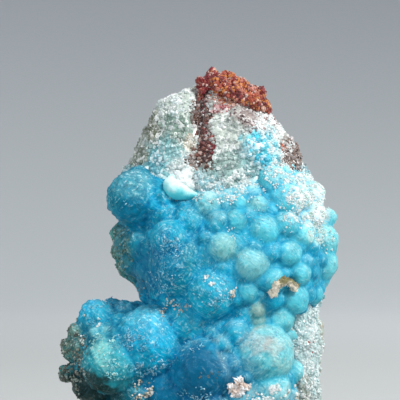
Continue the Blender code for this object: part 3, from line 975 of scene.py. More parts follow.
@dataclass(frozen=True)
class CrustFinish:
    """Silky blue hemimorphite: frosted with fine needles and a painted highlight, with painted shade in the
    creases.
    """

    # the frost's colour, also laid on as a painted highlight where the skin faces up to the light
    frost_and_highlight: Colour = (196, 236, 240)
    # the tint and strength of the painted shade in the creases between the balls
    crease_shade: Triple = (0.1, 0.62, 0.8)
    crease_strength: float = 0.85
    cloud: float = 2.4
    cloud_tint: Triple = (0.3, 0.76, 0.84)
    needle: float = 0.5
    needle_length: float = 3.5  # in needles' widths
    needle_turns: tuple[Triple, Triple] = ((0.3, 0.7, 0.0), (-0.3, -0.9, 0.5))
    gap_tint: Triple = (0.08, 0.62, 0.8)
    gap_strength: float = 0.75
    blot: float = 3.5  # in needles' widths
    depth: float = 0.35
    sparkle: float = 0.25
    gloss: float = 0.12
    scatter: float = 0.7
    scatter_share: float = 0.2
    scatter_spread: Triple = (0.2, 0.9, 1.0)

    def make(self) -> bpy.types.Material:
        """Builds the material."""
        recipe = Recipe("blue_hemimorphite", Subsurface_Weight=self.scatter_share, IOR=1.5,
                        Specular_IOR_Level=self.gloss, Subsurface_Scale=self.scatter * MM,
                        Subsurface_Radius=self.scatter_spread)
        tone = recipe.painted("tone", "Color")
        frost_and_highlight = recipe.painted("frost_and_highlight")
        crease_shade = recipe.painted("crease_shade")
        silk = recipe.painted("silk")
        blot = recipe.mottle(self.needle * self.blot, 4.0, 0.7, 1.2)
        cloud = recipe.mottle(self.cloud, 4.0, 0.6, 0.6)
        swirl = cloud.stepped(0.42, 0.58)
        falling, rising = (recipe.streaks(self.needle, self.needle_length, turn)
                           for turn in self.needle_turns)
        fine = falling * swirl + rising * (1 - swirl)
        shade = recipe.blend(cloud.stepped(0.4, 0.65, 0.0, 0.4), tone, np.array(self.cloud_tint),
                             "MULTIPLY")
        gap = fine.stepped(0.5, 0.34) * silk * self.gap_strength
        shade = recipe.blend(gap, shade, np.array(self.gap_tint), "MULTIPLY")
        speck = fine.stepped(0.5, 0.66) * silk
        # the frost mask holds a painted highlight as well as real frost
        powder = (speck * 0.6 + 0.4) * blot.stepped(0.36, 0.62, 0.3, 1.0) * frost_and_highlight
        shade = recipe.blend(powder + speck * blot.stepped(0.4, 0.6, 0.12, 0.6), shade,
                             linear(*self.frost_and_highlight))
        # painted shade: the creases between the balls are darkened
        shade = recipe.blend(crease_shade * self.crease_strength, shade, np.array(self.crease_shade), "MULTIPLY")
        relief = fine * 0.9 * silk + blot * 0.8
        faces = recipe.sparkling(self.needle * 2.0, self.sparkle)
        normal = recipe.bumped(relief, self.depth, 0.8, faces)
        rough = blot.stepped(0.35, 0.65, 0.3, 0.55)
        return recipe.set(Base_Color=shade, Roughness=rough, Normal=normal)


@dataclass(frozen=True)
class RockFinish:
    """Sugary host rock: clear and white grains with darker gaps between them."""

    gap: Triple = (0.6, 0.64, 0.63)
    bright: Colour = (250, 252, 250)
    grain: float = 1.15
    fine: float = 0.3
    blot: float = 1.3
    depth: float = 0.25
    sparkle: float = 0.3
    scatter: float = 1.0
    scatter_share: float = 0.12
    scatter_spread: Triple = (0.8, 0.9, 1.0)

    def make(self) -> bpy.types.Material:
        """Builds the material."""
        recipe = Recipe("pale_rock", Subsurface_Weight=self.scatter_share, IOR=1.55,
                        Subsurface_Scale=self.scatter * MM, Subsurface_Radius=self.scatter_spread)
        tone = recipe.painted("tone", "Color")
        sugar = recipe.painted("sugar")
        fine = recipe.mottle(self.fine, 2.0, 0.6)
        blot = recipe.mottle(self.blot, 3.0, 0.65, 0.4)
        grains = recipe.cells(self.grain, "Distance")
        own = recipe.node("ShaderNodeSeparateColor", {}, {0: recipe.cells(self.grain, "Color")}, 0)
        shade = recipe.blend(blot.stepped(0.45, 0.7) * 0.75, tone, np.array(self.gap), "MULTIPLY")
        shade = recipe.blend(own.stepped(0.6, 0.95) * sugar, shade, linear(*self.bright))
        shade = recipe.blend(own.stepped(0.3, 0.05) * sugar * 0.8, shade, np.array(self.gap),
                             "MULTIPLY")
        relief = grains.stepped(0.7, 0.0) * 0.8 + fine * 0.2 + blot * 0.6
        faces = recipe.sparkling(self.grain * 0.8, self.sparkle)
        normal = recipe.bumped(relief, self.depth, 0.6, faces)
        rough = own.stepped(0.1, 0.9, 0.7, 0.4)
        return recipe.set(Base_Color=shade, Roughness=rough, Normal=normal)


@dataclass(frozen=True)
class GrainFinish:
    """Small crystals that carry their own colours, with faint growth marks."""

    name: str
    roughness: float = 0.35
    depth: float = 0.12
    scatter_share: float = 0.0
    scatter: float = 0.8
    scatter_spread: Triple = (0.9, 0.9, 1.0)
    marks: float = 0.25
    mark_tint: Triple = (0.55, 0.55, 0.6)
    duller: float = 0.25  # how much rougher the marks are

    def make(self) -> bpy.types.Material:
        """Builds the material."""
        recipe = Recipe(self.name, IOR=1.6, Subsurface_Weight=self.scatter_share,
                        Subsurface_Scale=self.scatter * MM, Subsurface_Radius=self.scatter_spread)
        tone = recipe.painted("tone", "Color")
        fine = recipe.mottle(self.marks, 2.0)
        shade = recipe.blend(fine.stepped(0.35, 0.7) * 0.6, tone, np.array(self.mark_tint), "MULTIPLY")
        rough = fine.stepped(0.3, 0.7, self.roughness, self.roughness + self.duller)
        return recipe.set(Base_Color=shade, Roughness=rough, Normal=recipe.bumped(fine, self.depth))


@dataclass
class Crust:
    """The blue crust: fused balls on seven masses, with a silky, faintly lumpy skin."""

    voxel: float = 0.42
    ball_steps: int = 17
    ball_sides: int = 32
    softness: float = 0.34  # how far the creases are rounded on the left
    crispness: float = 0.14  # how much less than that on the right
    left_end: float = -9.0
    right_start: float = 1.0
    least_weight: float = 0.001
    least_slope: float = 1e-6
    longest_step: float = 0.8
    fitting_steps: int = 2
    tries: int = 900  # the places on each mass where a small ball is tried
    spacing: float = 2.9
    bare_by: float = -0.2  # a place that lies deeper than this in another ball isn't bare
    filler_radii: tuple[float, float] = (1.3, 2.5)
    settle: float = 0.5  # the softness' share taken off the skin, because rounding swells it
    great_sink: float = 0.45
    small_sink: float = 0.3
    small_radius: float = 3.3
    variety: float = 0.5
    swell: float = 0.25
    swell_size: float = 3.0
    lumps: float = 0.22
    left_lumps: float = 0.5  # how much higher they are on the left, outside its calm areas
    lump_size: float = 1.5
    calm_size: float = 6.0
    crease_width: float = 0.55
    tone_softness: float = 0.9  # how softly the balls' shades meet on the left
    tone_crispness: float = 0.55  # how much less than that on the right
    mottling: float = 0.22
    dirt_strength: float = 0.6
    stain: Colour = (118, 112, 98)
    stain_strength: float = 0.6
    balls: list[Ball] = field(default_factory=list)
    centres: Array = field(default_factory=lambda: np.zeros((0, 3)))
    radii: Array = field(default_factory=lambda: np.zeros((0, 3)))
    patches: tuple[Patch, ...] = (
        Patch(112, 150, 168, 196, (90, 164, 178), 0.4),
        # painted shade in the recess under ball A
        Patch(116, 150, 200, 228, (0, 112, 150), 0.6),
        Patch(60, 84, 326, 362, (112, 132, 116), 0.85),
        # these two: painted shade on the lobe's underside
        Patch(58, 110, 366, 402, (34, 50, 44), 0.9),
        Patch(84, 122, 382, 404, (24, 50, 46), 0.8),
        # these two: painted highlight on the top of ball E
        Patch(94, 112, 336, 366, (150, 226, 220), 0.7),
        Patch(88, 108, 322, 336, (150, 222, 224), 0.6),
        Patch(108, 132, 225, 275, (84, 136, 130), 0.5),
        Patch(118, 150, 270, 296, (92, 146, 150), 0.5),
        # painted shade on the shaded column
        Patch(132, 160, 240, 296, (0, 96, 132), 0.5),
        Patch(150, 182, 232, 292, (0, 128, 172), 0.5),
        Patch(140, 196, 364, 404, (0, 132, 176), 0.6),
        # the recessed ball low in the middle: its deep blue, with painted shade
        Patch(178, 226, 340, 398, (0, 100, 138), 0.9),
        # painted light: the lobe's top is lightened where the balls above shade it
        Patch(90, 152, 298, 322, (48, 186, 212), 0.6),
        Patch(188, 258, 176, 197, (196, 236, 236), 0.85),
        Patch(250, 265, 298, 326, (170, 184, 166), 0.75),
        Patch(214, 229, 329, 356, (150, 186, 190), 0.4, 0.5),
        Patch(240, 272, 328, 352, (178, 178, 178), 0.6),
        Patch(262, 282, 336, 352, (196, 178, 170), 0.55),
        Patch(270, 297, 334, 366, (176, 214, 208), 0.5, 0.55),
        Patch(222, 262, 352, 382, (104, 158, 184), 0.5),
        Patch(200, 232, 196, 222, (140, 184, 180), 0.4),
        Patch(212, 240, 234, 258, (150, 196, 184), 0.45),
        Patch(246, 262, 198, 210, (140, 186, 178), 0.5),
        Patch(234, 268, 248, 276, (140, 196, 200), 0.35),
        Patch(264, 304, 158, 186, (176, 234, 240), 0.8),
        Patch(258, 296, 180, 206, (104, 214, 236), 0.5),
        # the white balls on the right: their own white, raised to full white by a painted highlight
        Patch(292, 332, 164, 228, (252, 254, 254)),
        Patch(306, 330, 226, 244, (214, 238, 228), 0.7),
        Patch(236, 300, 384, 404, (190, 226, 230), 0.6),
    )
    # Where the crust is clear and dark, with little frost and few needles: its own deep blue, with painted
    # shade under ball A, on the shaded column and low down, where the painted highlight is taken off too
    deep: tuple[Patch, ...] = (
        Patch(114, 152, 202, 230),
        Patch(122, 152, 238, 292),
        Patch(178, 228, 340, 398),
        Patch(148, 204, 366, 402),
        Patch(142, 166, 352, 378, strength=0.7),
        Patch(120, 140, 344, 362, strength=0.5),
        Patch(58, 126, 372, 404),
    )

    def sunk(self, radius: float) -> float:
        """How far below the ground the centre of a ball of this radius lies."""
        return radius * (self.small_sink if radius < self.small_radius else self.great_sink)

    def set_on(self, balls: list[Ball], bud: Bud) -> Ball:
        """The ball of a bud, on the balls that are there already.

        Args:
            balls: the balls so far.
            bud: the bud.

        Returns:
            The ball, at its own depth, or where the front view first meets the others and a little in.
        """
        high = bud.high or bud.wide
        deep = (bud.wide + high) / 2
        depth = bud.depth
        if depth is None:
            start = Vector((bud.x, -FAR, bud.z))
            depth = min(ball.meeting(start, Vector((0, 1, 0))) for ball in balls) - FAR + self.sunk(deep)
        return Ball(Vector((bud.x, depth, bud.z)), Vector((bud.wide, deep, high)), bud.tone)

    def row_balls(self, row: Row) -> list[Ball]:
        """The balls of a row, uneven in size and height as the solids have them.

        Args:
            row: the row.

        Returns:
            One ball for each step of the row's turn.
        """
        mass = MASSES[row.mass]
        made = []
        for turn in np.arange(row.first, row.last + 0.001, row.step):
            seat = Vector((turn / 20, row.height / 7, row.radius))
            chance = [noise.noise(seat + Vector((shift, 0, 0))) for shift in (0.0, 31.7, 63.4)]
            angle = math.radians(turn + row.step / 2 * chance[0])
            out = Vector((math.sin(angle), -math.cos(angle), 0))
            height = row.height + row.radius * chance[1]
            start = Vector((mass.centre.x, mass.centre.y, height)) + out * FAR
            radius = row.radius * (1 + self.variety * chance[2])
            centre = start - out * (mass.meeting(start, -out) + self.sunk(radius))
            made.append(Ball(centre, Vector((radius,) * 3), row.tone))
        return made

    def gather(self) -> None:
        """Lists every ball of the crust, the masses first."""
        balls = list(MASSES.values())
        for buds in (GREAT_BUDS, SHOULDER_BUDS, COLUMN_BUDS, GRAPE_BUDS, CHEEK_BUDS, LOBE_BUDS):
            for bud in buds:
                balls.append(self.set_on(balls, bud))
        for row in HIDDEN_ROWS:
            balls.extend(self.row_balls(row))
        self.balls = balls
        self.measure()
        self.fill()

    def measure(self) -> None:
        """Takes the balls' centres and radii into arrays."""
        self.centres = np.array([ball.centre for ball in self.balls])
        self.radii = np.array([ball.radii for ball in self.balls])

    def fill(self) -> None:
        """Adds small balls wherever a mass is still bare, each clear of the ones added before it."""
        chance = np.random.default_rng(Seed.FILLERS)
        added: list[Array] = []
        for index, mass in enumerate(MASSES.values()):
            ways = units(chance.normal(size=(self.tries, 3)))
            seats = np.array(mass.centre) + ways * np.array(mass.radii)
            others = self.depths(seats)
            others[:, index] = np.inf
            for seat, way, clear in zip(seats, ways, others.min(axis=1)):
                near = min((np.linalg.norm(seat - old) for old in added), default=FAR)
                if clear < self.bare_by or near < self.spacing or seat[2] < 0:
                    continue
                added.append(seat)
                radius = chance.uniform(*self.filler_radii)
                out = units((way / np.array(mass.radii))[None])[0]
                centre = seat - out * radius * self.great_sink
                self.balls.append(Ball(Vector(centre), Vector((radius,) * 3), mass.tone))
        self.measure()

    def depths(self, points: Array) -> Array:
        """How far each point lies outside each ball, about right close to the ball's skin.

        The point's distance from the centre in the ball's own radii, less one, is scaled by the slope
        of that measure.

        Args:
            points: the points, one row each.

        Returns:
            One row for each point, with a number for each ball, negative inside.
        """
        reach = np.empty((len(points), len(self.centres)), dtype=np.float32)
        for index, (centre, radii) in enumerate(zip(self.centres, self.radii)):
            away = (points - centre) / radii
            length = np.sqrt((away * away).sum(axis=1))
            away /= radii
            slope = np.maximum(np.sqrt((away * away).sum(axis=1)), self.least_slope)
            reach[:, index] = length * (length - 1) / slope
        return reach

    def softened(self, points: Array) -> Array:
        """How far the creases are rounded at each point."""
        return self.softness - self.crispness * ramp(points[:, 0], self.left_end, self.right_start)

    def field(self, points: Array) -> tuple[Array, Array]:
        """How far each point lies outside the crust, and the way out.

        The distance is the smallest depth, rounded in the creases: minus the softness times the
        logarithm of the sum, over the balls, of the exponential of minus the depth over the softness.
        The way out is the balls' own ways out, weighted by those exponentials.

        Args:
            points: the points, one row each.

        Returns:
            One number for each point, negative inside, and one unit row for each.
        """
        reach = self.depths(points)
        least = reach.min(axis=1, keepdims=True)
        softness = self.softened(points)
        weight = np.exp((least - reach) / softness[:, None])
        out = np.zeros_like(points)
        for index, (centre, radii) in enumerate(zip(self.centres, self.radii)):
            near = weight[:, index] > self.least_weight
            out[near] += units((points[near] - centre) / radii**2) * weight[near, index, None]
        return least[:, 0] - softness * np.log(weight.sum(axis=1)), units(out)

    def fitted(self, points: Array) -> Array:
        """Moves the points onto the skin of the crust, by Newton steps along the way out.

        Args:
            points: the points, one row each.

        Returns:
            The moved points.
        """
        for _ in range(self.fitting_steps):
            here, out = self.field(points)
            points = points - out * np.clip(here, -self.longest_step, self.longest_step)[:, None]
        return points

    def build(self) -> Piece:
        """Makes the crust's piece.

        Returns:
            The piece, with its tone, its frost and painted highlight, its silk and its painted crease shade
            stored at its points.
        """
        self.gather()
        frames = np.einsum("ni,ij->nij", self.radii, np.eye(3))
        ball = turned(round_profile(self.ball_steps), self.ball_sides)
        piece = Piece("crust", *copies(ball, self.centres, frames))
        piece.fused(self.voxel)
        piece.move(self.fitted(piece.points))
        points, normals = piece.points, piece.normals
        rise = self.swell * Noise.billows(points, self.swell_size, Salt.CRUST_SWELL)
        rise -= self.settle * self.softened(points)
        lively = ramp(Noise.waves(points, self.calm_size, Salt.CRUST_CALM), -0.8, 0.2)
        lumpy = self.lumps + self.left_lumps * ramp(points[:, 0], 3.0, -9.0) * lively
        rise += lumpy * (0.5 - Noise.grains(points, self.lump_size, Salt.CRUST_LUMPS)[0])
        piece.raised(rise)
        low = piece.points
        low[:, 2] = np.maximum(low[:, 2], 0.0)
        piece.move(low)
        self.colour(piece, points, normals)
        return piece.finished(CrustFinish().make(), "blue_hemimorphite", True, "hemimorphite_crust")

    def colour(self, piece: Piece, points: Array, normals: Array) -> None:
        """Paints the crust's tones, its frost with a painted highlight where it faces the light, its silk
        and painted shade in the creases.

        Args:
            piece: the crust.
            points: its points before its fine lumps.
            normals: the way they face.
        """
        reach = self.depths(points)
        order = np.sort(reach, axis=1)
        # painted shade: darker where two balls meet in a crease
        crease_shade = np.exp(-(order[:, 1] - order[:, 0]) / self.crease_width)
        meeting = self.tone_softness - self.tone_crispness * ramp(points[:, 0], -6.0, 0.0)
        weight = np.exp((order[:, :1] - reach) / meeting[:, None])
        shades = np.array([ball.tone.light for ball in self.balls])
        tones = weight @ shades / weight.sum(axis=1, keepdims=True)
        tones = tones * (1 + self.mottling * Noise.billows(points, 1.8, Salt.CRUST_TONE)[:, None])
        facing = ramp(-normals[:, 1], -0.1, 0.35)
        tones = painted(tones, self.patches, points, facing, Salt.CRUST_PATCHES)
        dirty = weight[:, [ball.tone in (Tone.SAGE, Tone.MOSS) for ball in self.balls]].sum(axis=1)
        dirty = (dirty / weight.sum(axis=1))[:, None]
        dirt = Noise.billows(points, 1.3, Salt.CRUST_DIRT)[:, None]
        spots = ramp(Noise.billows(points, 2.0, Salt.CRUST_STAIN), 0.0, 0.5)[:, None]
        stained = dirty * spots * self.stain_strength
        tones = blended(tones * (1 + self.dirt_strength * dirty * dirt), linear(*self.stain), stained)
        # painted highlight: the frost grows where the skin faces up, right and front towards the key light,
        # and towards the right side
        up = ramp(normals[:, 2] + 0.35 * normals[:, 0] - 0.3 * normals[:, 1], -0.1, 1.1)
        right = ramp(points[:, 0], -12.0, 10.0)
        cloudy = ramp(Noise.billows(points, 4.0, Salt.CRUST_FROST), -0.5, 0.6)
        frost_and_highlight = up * (0.15 + 0.35 * cloudy + 0.4 * right) * (1 - 0.85 * crease_shade)
        ragged = Noise.billows(points, Patch.FRAY_SIZE, Salt.CRUST_DEEP)
        silk = 1 - 0.35 * right * ramp(points[:, 2], 12.0, 24.0)
        for patch in self.deep:
            share = patch.share(points, ragged) * facing
            frost_and_highlight *= 1 - 0.9 * share
            silk *= 1 - 0.75 * share
        piece.paint("silk", silk)
        piece.paint("tone", tones)
        piece.paint("frost_and_highlight", np.clip(frost_and_highlight, 0, 1))
        piece.paint("crease_shade", crease_shade)


@dataclass
class Rock:
    """The host rock: the solid's broken wedge with a sugary skin, washed blue beside the crust."""

    voxel: float = 0.4
    foot: float = 0.2  # what starts lower than this stays on the ground
    swell: float = 0.45
    swell_size: float = 3.2
    fine: float = 0.3
    fine_size: float = 0.7
    sugar: float = 0.5
    sugar_size: float = 1.15
    facets: float = 0.55
    facet_size: float = 2.4
    base: Colour = (206, 216, 210)
    back: Colour = (176, 176, 162)
    blots: float = 0.25
    wash: Colour = (112, 190, 204)
    wash_strength: float = 0.8
    stain_step: int = 10  # how far apart the stains' salts are
    stains: tuple[tuple[Colour, float, float], ...] = (
        ((212, 208, 196), 0.05, 0.8), ((146, 132, 104), 0.2, 0.75), ((150, 96, 66), 0.5, 0.8),
        ((134, 176, 172), 0.4, 0.8), ((96, 88, 78), 0.55, 0.7))
    patches: tuple[Patch, ...] = (
        Patch(150, 196, 86, 120, (190, 204, 196)),
        Patch(148, 200, 112, 152, (130, 158, 146), 0.95),
        Patch(132, 196, 138, 180, (138, 202, 206), 0.85),
        Patch(148, 164, 148, 178, (84, 172, 190), 0.6),
        Patch(172, 196, 158, 176, (236, 244, 240), 0.8),
        # these two: the olive-grey of the rock's left flank, with painted shade
        Patch(144, 160, 104, 144, (118, 124, 100), 0.95),
        Patch(122, 149, 138, 166, (126, 134, 114), 0.9),
        Patch(184, 194, 136, 151, (222, 214, 196), 0.9),
        Patch(192, 212, 86, 138, (94, 62, 52), 1.0),
        Patch(201, 206, 88, 136, (62, 38, 36), 0.8),
        Patch(200, 215, 133, 158, (104, 38, 44), 0.9),
        Patch(186, 212, 148, 169, (130, 100, 88), 0.85),
        Patch(206, 224, 78, 106, (138, 138, 134), 0.9),
        Patch(212, 250, 84, 106, (196, 132, 112), 0.9),
        Patch(213, 231, 104, 113, (206, 140, 140), 0.9),
        Patch(212, 248, 110, 150, (196, 206, 198), 0.8),
        Patch(236, 270, 102, 128, (158, 140, 136), 0.9),
        # the white matrix right of the crest, raised to full white by a painted highlight
        Patch(252, 284, 110, 148, (252, 253, 252), 0.95),
        Patch(254, 296, 160, 188, (120, 220, 236), 0.8),
        Patch(262, 296, 148, 188, (206, 236, 240), 0.9),
        Patch(238, 284, 130, 192, (74, 212, 230), 0.9),
        Patch(246, 270, 140, 190, (10, 196, 226), 0.85),
        Patch(272, 284, 110, 124, (130, 70, 62), 0.9),
        Patch(279, 303, 136, 178, (128, 100, 88), 0.95),
        Patch(190, 256, 182, 197, (222, 238, 236), 0.8),
        Patch(205, 260, 150, 184, (148, 178, 172), 0.8),
        Patch(286, 326, 300, 400, (192, 220, 220), 0.9),
        Patch(292, 312, 372, 404, (150, 150, 132), 0.7),
    )

    def build(self, crust: Crust) -> Piece:
        """Makes the rock's piece.

        Args:
            crust: the crust that it carries.

        Returns:
            The piece, with its tone and its sugar painted at its points.
        """
        piece = Piece.from_node("rock", "host_rock")
        piece.fused(self.voxel)
        piece.smoothed(2)
        points, normals = piece.points, piece.normals
        front = ramp(points[:, 1], 4.0, -2.0)
        outside, _ = crust.field(points)
        bare = ramp(outside, -0.5, 1.0)
        sugar = Noise.grains(points, self.sugar_size, Salt.ROCK_SUGAR)[0]
        fine = Noise.grains(points, self.fine_size, Salt.ROCK_FINE)[0]
        facets = Noise.facets(points, self.facet_size, Salt.ROCK_FACETS)
        rise = self.swell * Noise.billows(points, self.swell_size, Salt.ROCK_SWELL)
        rise += self.fine * (0.5 - fine)
        rise += front * self.sugar * (0.5 - sugar) + (1 - front) * self.facets * facets
        piece.raised(rise * bare)
        low = piece.points
        low[:, 2] = np.where(points[:, 2] < self.foot, 0.0, np.maximum(low[:, 2], 0.0))
        piece.move(low)
        blot = Noise.billows(points, 7.0, Salt.ROCK_BLOTS)[:, None]
        tones = blended(linear(*self.back), linear(*self.base), front[:, None])
        tones = tones * (1 + self.blots * blot)
        edges = 0.3 * Noise.billows(points, 1.5, Salt.ROCK_STAIN_EDGES)
        for number, (colour, floor, strength) in enumerate(self.stains):
            spot = Noise.billows(points, 6.0, Salt.ROCK_STAINS + self.stain_step * number) + edges
            spot = (ramp(spot, floor, floor + 0.35) * (1 - front) * strength)[:, None]
            tones = blended(tones, linear(*colour), spot)
        beside = ramp(outside + 1.2 * Noise.billows(points, 2.5, Salt.ROCK_WASH), 4.0, 0.3)
        tones = blended(tones, linear(*self.wash), (beside * self.wash_strength)[:, None])
        facing = ramp(-normals[:, 1], -0.9, -0.3) * ramp(points[:, 1], 7.0, 3.0)
        tones = painted(tones, self.patches, points, facing, Salt.ROCK_PATCHES)
        piece.paint("tone", np.clip(tones, 0, 1))
        piece.paint("sugar", 0.35 + 0.5 * front)
        return piece.finished(RockFinish().make(), "pale_rock", True, "host_rock")


class Crystal(Enum):
    """The habits of the small crystals, each a profile of radius and height, and its sides."""

    SLIVER = (((0, -1.0), (0.2, -0.3), (0.16, 0.4), (0, 1.1)), 4)
    SPLINTER = (((0, -1.0), (0.42, -0.35), (0.38, 0.4), (0, 1.1)), 4)
    GRAIN = (((0, -0.9), (0.75, -0.35), (0.8, 0.3), (0, 0.95)), 4)
    TOOTH = (((0, -0.6), (0.42, -0.5), (0.36, 0.5), (0, 1.5)), 5)

    @property
    def shape(self) -> tuple[Array, Array]:
        """The points and triangles of one crystal about a millimetre in half height."""
        profile, sides = self.value
        return turned(np.array(profile, dtype=float), sides)


def crystals(name: str, habit: Crystal, places: Array, aims: Array, sizes: Array, lean: float,
             tones: Array, chance: np.random.Generator) -> Piece:
    """Many crystals of one habit as one piece: each stands along its aim, leaning by chance.

    Args:
        name: the piece's name.
        habit: the crystals' habit.
        places: where they stand, one row each.
        aims: the way each points before it leans.
        sizes: the half height of each.
        lean: how far they lean, as a share of their length.
        tones: the light values of each, one row each.
        chance: the source of random numbers.

    Returns:
        The piece, with each crystal's tone painted on it.
    """
    count = len(places)
    up = units(aims + lean * chance.normal(size=(count, 3)))
    side = units(np.cross(up, chance.normal(size=(count, 3))))
    ahead = np.cross(up, side)
    squeeze = chance.uniform(*SQUEEZE, size=(count, 1))
    frames = np.stack([side * squeeze, ahead, up], axis=1) * sizes[:, None, None]
    shape = habit.shape
    points, triangles = copies(shape, places, frames)
    points[:, 2] = np.maximum(points[:, 2], 0.0)
    piece = Piece(name, points, triangles)
    piece.paint("tone", np.repeat(tones, len(shape[0]), axis=0))
    return piece


@dataclass(frozen=True)
class Cluster:
    """A spot of the front view where crystals of a few colours crowd together."""

    patch: Patch
    count: int
    sizes: tuple[float, float]
    colours: tuple[Colour, ...]


BROWNS = ((96, 60, 52), (70, 44, 40), (132, 92, 78), (48, 34, 32), (168, 136, 122))
CRIMSONS = ((116, 26, 40), (84, 20, 28), (142, 52, 60), (60, 24, 26), (168, 96, 92))
RUSTS = ((190, 98, 66), (160, 70, 46), (214, 140, 112), (204, 132, 70), (232, 190, 172))
WHITES = ((250, 252, 250), (236, 246, 244), (214, 232, 230))
CREAMS = ((236, 230, 214), (206, 200, 182), (160, 154, 138), (244, 244, 238))
GLINTS = ((196, 232, 244), (130, 206, 230), (80, 178, 214), (104, 190, 220))
GREYS = ((140, 156, 144), (90, 108, 96), (176, 190, 180), (64, 70, 62), (120, 120, 106))

ROCK_CLUSTERS = (
    Cluster(Patch(193, 212, 88, 138), 800, (0.18, 0.42), BROWNS),
    Cluster(Patch(202, 208, 86, 140), 260, (0.2, 0.4), CRIMSONS),
    Cluster(Patch(200, 215, 134, 157), 420, (0.2, 0.45), CRIMSONS),
    Cluster(Patch(186, 212, 146, 170), 420, (0.18, 0.42), BROWNS),
    Cluster(Patch(214, 250, 84, 107), 700, (0.2, 0.42), RUSTS),
    Cluster(Patch(212, 232, 104, 113), 90, (0.18, 0.35),
            ((206, 120, 124), (232, 186, 184), (170, 76, 84))),
    Cluster(Patch(208, 222, 80, 106), 150, (0.2, 0.45),
            ((150, 150, 144), (112, 108, 104), (206, 206, 200))),
    Cluster(Patch(234, 272, 100, 128), 420, (0.2, 0.42),
            ((150, 122, 122), (98, 78, 80), (206, 192, 188), (240, 236, 232))),
    Cluster(Patch(264, 286, 104, 126), 260, (0.2, 0.42),
            ((140, 54, 52), (98, 52, 50), (196, 128, 116))),
    Cluster(Patch(280, 287, 140, 150), 60, (0.2, 0.42), ((206, 92, 34), (168, 64, 34))),
    Cluster(Patch(282, 304, 136, 180), 420, (0.2, 0.45),
            BROWNS + ((206, 196, 190), (226, 220, 214))),
    Cluster(Patch(184, 194, 135, 152), 110, (0.2, 0.45), CREAMS),
    Cluster(Patch(152, 192, 84, 116), 360, (0.2, 0.5), WHITES),
    Cluster(Patch(258, 288, 108, 130), 480, (0.2, 0.5), WHITES),
    Cluster(Patch(270, 292, 128, 184), 420, (0.2, 0.5), WHITES),
    Cluster(Patch(184, 262, 176, 196), 700, (0.2, 0.5), WHITES),
    Cluster(Patch(170, 198, 158, 180), 260, (0.2, 0.5), WHITES),
    Cluster(Patch(286, 326, 306, 400), 900, (0.2, 0.5), WHITES + ((190, 216, 214),)),
    Cluster(Patch(306, 315, 340, 351), 26, (0.2, 0.4), ((190, 62, 44), (150, 60, 50))),
)

SUGAR_CLUSTERS = (
    Cluster(Patch(184, 264, 176, 200), 900, (0.15, 0.4), WHITES + ((150, 214, 226),)),
    Cluster(Patch(292, 332, 164, 226), 1100, (0.15, 0.42), WHITES + ((196, 228, 216),)),
    Cluster(Patch(264, 304, 158, 190), 700, (0.15, 0.42), WHITES + ((150, 220, 232),)),
    Cluster(Patch(280, 300, 186, 226), 300, (0.12, 0.36), WHITES + ((120, 210, 230),)),
    Cluster(Patch(308, 334, 222, 250), 260, (0.12, 0.36),
            ((206, 236, 228), (236, 244, 240), (160, 214, 222))),
    Cluster(Patch(205, 214, 273, 283, ring=0.5), 20, (0.2, 0.42), WHITES),
    Cluster(Patch(229, 236, 284, 294), 14, (0.25, 0.5), CREAMS),
    Cluster(Patch(163, 179, 299, 324, ring=0.6), 46, (0.18, 0.36), CREAMS + ((96, 120, 124),)),
    Cluster(Patch(134, 152, 379, 397, ring=0.5), 80, (0.2, 0.45), CREAMS + ((130, 128, 92),)),
    Cluster(Patch(178, 190, 297, 310), 14, (0.2, 0.4), ((206, 216, 214), (190, 190, 180))),
    Cluster(Patch(200, 220, 367, 373), 12, (0.18, 0.34), ((120, 124, 100), (80, 108, 116))),
    Cluster(Patch(97, 103, 316, 325), 16, (0.2, 0.4), WHITES),
    Cluster(Patch(83, 88, 333, 341), 14, (0.2, 0.4), WHITES),
    Cluster(Patch(268, 279, 381, 395), 30, (0.3, 0.6), WHITES),
    Cluster(Patch(276, 300, 386, 404), 90, (0.2, 0.5), CREAMS),
    Cluster(Patch(240, 276, 390, 404), 120, (0.2, 0.5), WHITES),
    Cluster(Patch(226, 238, 222, 236), 14, (0.14, 0.28), WHITES),
    Cluster(Patch(58, 86, 320, 404), 420, (0.2, 0.45), GREYS),
    Cluster(Patch(106, 130, 228, 282), 220, (0.18, 0.4),
            ((120, 158, 148), (84, 120, 108), (160, 186, 176))),
    Cluster(Patch(126, 146, 276, 294), 40, (0.16, 0.34), GREYS),
)

GLINT_CLUSTERS = (
    Cluster(Patch(116, 144, 174, 204), 70, (0.15, 0.4), GLINTS),
    Cluster(Patch(160, 184, 232, 256), 130, (0.15, 0.45), GLINTS),
    Cluster(Patch(154, 186, 268, 292), 90, (0.15, 0.4), GLINTS),
    Cluster(Patch(196, 232, 276, 306), 110, (0.15, 0.4), GLINTS),
    Cluster(Patch(120, 152, 328, 352), 130, (0.15, 0.5), GLINTS),
    Cluster(Patch(136, 166, 348, 374), 130, (0.15, 0.5), GLINTS),
    Cluster(Patch(184, 206, 336, 348), 26, (0.15, 0.4), GLINTS),
    Cluster(Patch(176, 212, 384, 402), 80, (0.15, 0.4), GLINTS),
    Cluster(Patch(92, 116, 330, 350), 60, (0.15, 0.5), ((200, 240, 234), (150, 220, 214))),
    Cluster(Patch(104, 122, 352, 376), 46, (0.15, 0.5), ((200, 240, 234), (120, 210, 220))),
    Cluster(Patch(96, 130, 296, 308), 80, (0.15, 0.4), GLINTS),
    Cluster(Patch(244, 268, 198, 222), 60, (0.12, 0.3), GLINTS),
    Cluster(Patch(238, 300, 330, 350), 90, (0.12, 0.3), GLINTS),
)


